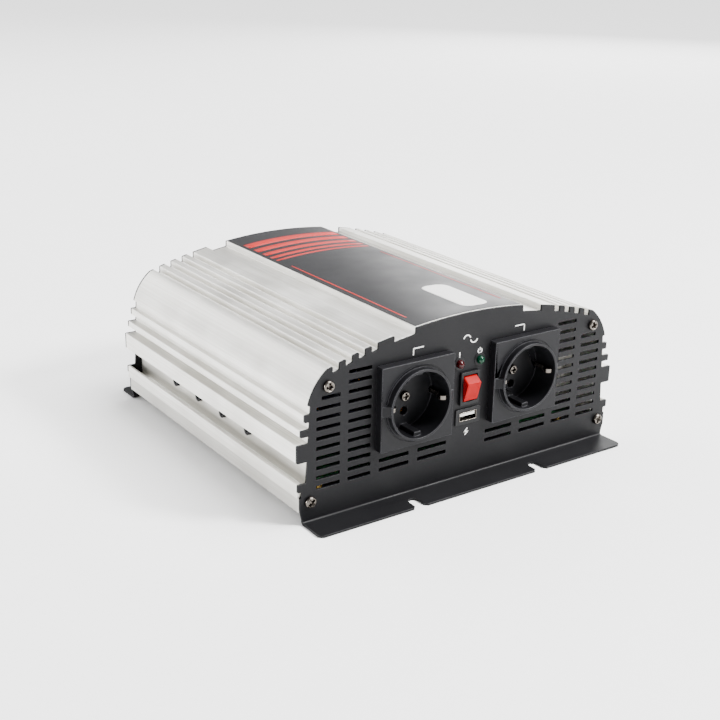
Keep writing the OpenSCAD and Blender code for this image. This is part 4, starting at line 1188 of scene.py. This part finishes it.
@dataclass
class Terminal:
    """Screw terminal on the rear plate: threaded post, bush, washer and ribbed knob."""

    pole: Pole
    x: float
    plastic: Finish
    slot: str
    z: float = 58.0
    post_r: float = 3.98
    pitch: float = 1.25
    thread_d: float = 0.55
    post_end: float = 16.4
    thread_start: float = 3.2
    head_y: float = 5.5
    head_h: float = 5.0
    head_r: float = 7.5
    knob_r: float = 9.5
    knob_base: float = 4.4
    knob_len: float = 11.0
    bore_r: float = 4.05
    ribs: int = 18
    groove_half: float = 0.28
    groove_d: float = 0.6
    thread_rows: int = 88
    tip: float = 0.6
    tip_edge: float = 0.4
    neck_y: float = -2.8
    head_edge: float = 0.3
    bush_edge: float = 0.4
    washer_edge: float = 0.15

    def build(self) -> None:
        """Makes the terminal's pieces in order."""
        pole = self.pole.value
        self.post()
        soften(f"{pole}_bush", self.plastic, "casing", self.slot, self.bush_edge)
        soften(f"{pole}_washer", TURNED_BRASS, f"{pole}_clamp", "brass", self.washer_edge)
        self.knob()
        Frame.dress(ROLLED_COPPER, f"{pole}_busbar")

    def post(self) -> None:
        """Post with a thread and a hexagon head: rings from the blunt tip over thread and neck to the head.

        The thread's radius is R - d |2 f - 1|, with f what is left of y / pitch + a / turn after whole turns.
        """
        angles = full_turn(48)
        along = np.linspace(-self.post_end + self.tip, -self.thread_start, self.thread_rows)
        phase = (along[:, None] / self.pitch + angles[None] / (2 * np.pi)) % 1
        thread = self.post_r - self.thread_d * np.abs(2 * phase - 1)
        round_r = np.full(len(angles), self.post_r)
        blunt = np.array([0.05, 0.8, 0.85])[:, None] * round_r
        neck = np.array([0.97, 0.97])[:, None] * round_r
        six = self.head_r * math.cos(math.pi / 6) / np.cos((angles % (np.pi / 3)) - np.pi / 6)
        head = np.array([0.96, 1.0, 1.0, 0.96, 0.01])[:, None] * six
        radii = np.concatenate([blunt, thread, neck, head])
        end = -self.post_end
        seat = self.head_y
        top = seat + self.head_h
        blunt_y = [end, end, end + self.tip_edge]
        head_y = [self.neck_y, seat, seat, seat + self.head_edge, top - self.head_edge, top, top]
        rings = turned(radii, np.concatenate([blunt_y, along, head_y]), angles)
        node = f"{self.pole.value}_post"
        piece = ring_stacks(f"{node}_dressed", [Plate.REAR.place(rings, self.x, self.z)])
        settle(piece, TURNED_BRASS, "casing", [node])

    def knob(self) -> None:
        """Knob: a turned body with rounded grooves in its side, r = R - d g(a), round its plain bore.

        A row of the profile is a radius, its place along the post and its share of the grooves.
        """
        angles = full_turn(self.ribs * 10)
        across = (angles * self.ribs / (2 * np.pi)) % 1 - 0.5
        groove = np.clip(1 - (across / self.groove_half) ** 2, 0, None) * self.groove_d
        base = self.knob_base
        end = base + self.knob_len
        profile = [
            (self.bore_r, base, 0.0),
            (self.knob_r - 0.5, base, 0.0),
            (self.knob_r - 0.15, base + 0.15, 0.0),
            (self.knob_r, base + 0.5, 0.0),
            (self.knob_r, base + 2.4, 0.0),
            (self.knob_r, base + 3.0, 1.0),
            (self.knob_r, end - 1.0, 1.0),
            (self.knob_r - 0.15, end - 0.5, 1.0),
            (self.knob_r - 0.6, end - 0.12, 1.0),
            (self.knob_r - 1.3, end, 0.3),
            (self.knob_r - 3.0, end, 0.0),
            (self.knob_r - 3.5, end - 0.5, 0.0),
            (self.bore_r, end - 0.5, 0.0),
            (self.bore_r, base + 0.01, 0.0),
        ]
        radii, places, ribbed = (np.array(column) for column in zip(*profile))
        rings = turned(radii[:, None] - ribbed[:, None] * groove[None], -places, angles)
        quads = grid_faces(*rings.shape[:2], through=True)
        points = Plate.REAR.place(rings, self.x, self.z).reshape(-1, 3)
        node = f"{self.pole.value}_knob"
        piece = mesh_object(f"{node}_dressed", points, quads)
        settle(piece, self.plastic, f"{self.pole.value}_nut", [node])


@dataclass
class Earthing:
    """Earth screw on its washer, low on the rear plate."""

    x: float = -45.0
    z: float = 24.0
    washer_t: float = 1.0
    washer_r: float = 5.0
    washer_edge: float = 0.2
    screw: PanScrew = PanScrew(head_r=4.0, head_h=2.6, shank_r=2.0, length=7.5)

    def build(self) -> None:
        """Makes the screw and its washer."""
        rings = self.screw.rings() + np.array([0, -self.washer_t, 0])
        edge = self.washer_edge
        flat_r = self.washer_r - edge
        radii = np.array([POLE_R, flat_r, self.washer_r, self.washer_r, flat_r, POLE_R])
        along = -np.array([0, 0, edge, self.washer_t - edge, self.washer_t, self.washer_t])
        washer = turned(radii, along, full_turn(48))
        stacks = [Plate.REAR.place(stack, self.x, self.z) for stack in (rings, washer)]
        piece = ring_stacks("earth_screw_dressed", stacks)
        settle(piece, TURNED_BRASS, "casing", ["earth_screw"])


class Inside:
    """What stands on the main board and along the heat rails."""

    finishes: dict[str, Finish] = {
        "main_board": SOLDER_MASK_BOARD,
        "control_board": SOLDER_MASK_BOARD,
        "board_standoffs": TURNED_BRASS,
        "board_screws": NICKEL_PLATED_STEEL,
        "left_transformer_core": SINTERED_FERRITE,
        "right_transformer_core": SINTERED_FERRITE,
        "left_transformer_winding": TAPED_WINDING,
        "right_transformer_winding": TAPED_WINDING,
        "input_capacitors": VINYL_SLEEVE,
        "bus_capacitor": VINYL_SLEEVE,
        "output_choke": ENAMELLED_COPPER,
        "fuse_holders": ABS_BLACK,
        "blade_fuses": POLYCARBONATE_AMBER,
        "power_transistors": ABS_BLACK,
        "transistor_clamps": ANODISED_ALUMINIUM,
        "heat_pads": SILICONE_PAD,
    }

    def build(self) -> None:
        """Gives each inner solid its finish."""
        for name, finish in self.finishes.items():
            Frame.dress(finish, name)


@dataclass(frozen=True)
class SoftPanel:
    """Square studio light: its place and side in metres, its power in watts."""

    name: str
    place: tuple[float, float, float]
    side: float
    power: float


@dataclass
class Studio:
    """White floor, soft lights and the camera at the photograph's place."""

    target: tuple[float, float, float] = (-77.59, -112.0, 90.48)
    distance: float = 668.3
    azimuth_deg: float = -34.951
    elevation_deg: float = 20.375
    roll_deg: float = 1.067
    focal_px: float = 1213.43
    frame_px: float = 720.0
    middle_px: tuple[float, float] = (361.59, 361.64)
    sensor_mm: float = 36.0
    clip_m: tuple[float, float] = (0.01, 50.0)
    floor_half: float = 6000.0
    floor_gap: float = 0.05
    surround: float = 0.55
    aim_m: tuple[float, float, float] = (-0.02, -0.02, 0.05)
    panels: tuple[SoftPanel, ...] = (
        SoftPanel("key", (1.1, -1.2, 1.3), 0.4, 85.0),
        SoftPanel("back", (2.0, 1.6, 1.0), 1.2, 36.0),
        SoftPanel("side", (-0.9, 1.8, 1.2), 1.2, 30.0),
        SoftPanel("wall", (-2.4, 0.4, 0.3), 0.8, 70.0),
    )
    sky_spread_deg: float = 40.0
    sky_tilt_deg: tuple[float, float] = (10.0, 26.0)
    sky_power: float = 6.0

    def build(self) -> None:
        """Sets the floor, the lights and the camera."""
        self.floor()
        self.lights()
        self.camera()

    def floor(self) -> None:
        """Wide level floor just under the feet."""
        square = np.array([[-1, -1, 0], [1, -1, 0], [1, 1, 0], [-1, 1, 0]])
        corners = square * self.floor_half - np.array([0, 0, self.floor_gap])
        floor = mesh_object("studio_floor", corners, [[0, 1, 2, 3]], closed=False)
        floor.data.materials.append(STUDIO_WHITE.material())

    def lights(self) -> None:
        """White surroundings, a key from the front right, three soft panels and a wide light from above."""
        world = bpy.data.worlds.new("studio")
        world.use_nodes = True
        backdrop = world.node_tree.nodes["Background"]
        backdrop.inputs["Color"].default_value = linear_rgb("#ffffff")
        backdrop.inputs["Strength"].default_value = self.surround
        bpy.context.scene.world = world
        for panel in self.panels:
            light = bpy.data.lights.new(panel.name, "AREA")
            light.size = panel.side
            light.energy = panel.power
            lamp = bpy.data.objects.new(panel.name, light)
            lamp.location = panel.place
            aim = Vector(self.aim_m) - Vector(panel.place)
            lamp.rotation_euler = aim.to_track_quat("-Z", "Y").to_euler()
            lamp.visible_camera = False
            bpy.context.scene.collection.objects.link(lamp)
        sky = bpy.data.lights.new("sky", "SUN")
        sky.angle = math.radians(self.sky_spread_deg)
        sky.energy = self.sky_power
        lamp = bpy.data.objects.new("sky", sky)
        tilt_x, tilt_y = self.sky_tilt_deg
        lamp.rotation_euler = (math.radians(tilt_x), math.radians(tilt_y), 0)
        bpy.context.scene.collection.objects.link(lamp)

    def camera(self) -> None:
        """Camera from its azimuth, elevation, roll and distance to the aimed point."""
        azimuth = math.radians(self.azimuth_deg)
        elevation = math.radians(self.elevation_deg)
        roll = math.radians(self.roll_deg)
        back = Vector(
            (
                math.sin(azimuth) * math.cos(elevation),
                -math.cos(azimuth) * math.cos(elevation),
                math.sin(elevation),
            )
        )
        right = Vector((math.cos(azimuth), math.sin(azimuth), 0))
        up = back.cross(right)
        rolled_right = math.cos(roll) * right + math.sin(roll) * up
        rolled_up = math.cos(roll) * up - math.sin(roll) * right
        place = (Vector(self.target) + back * self.distance) * MM
        lens = bpy.data.cameras.new("camera")
        lens.sensor_width = self.sensor_mm
        lens.lens = self.focal_px / self.frame_px * self.sensor_mm
        half = self.frame_px / 2
        lens.shift_x = (half - self.middle_px[0]) / self.frame_px
        lens.shift_y = (self.middle_px[1] - half) / self.frame_px
        lens.clip_start, lens.clip_end = self.clip_m
        camera = bpy.data.objects.new("camera", lens)
        turn = Matrix((rolled_right, rolled_up, back)).transposed().to_4x4()
        camera.matrix_world = Matrix.Translation(place) @ turn
        bpy.context.scene.collection.objects.link(camera)
        bpy.context.scene.camera = camera


def main() -> None:
    """Builds every sub-assembly in order."""
    logging.basicConfig(level=logging.INFO, format="%(name)s: %(message)s")
    Frame.load()
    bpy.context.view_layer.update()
    Studio().build()
    Casing().build()
    Outlet(Side.LEFT, -41.3).build()
    Outlet(Side.RIGHT, 41.3).build()
    Controls().build()
    Fan().build()
    Terminal(Pole.POSITIVE, 76.0, POLYCARBONATE_RED, "red_plastic").build()
    Terminal(Pole.NEGATIVE, -76.0, ABS_BLACK, "black_plastic").build()
    Earthing().build()
    Inside().build()


if __name__ == "__main__":
    main()
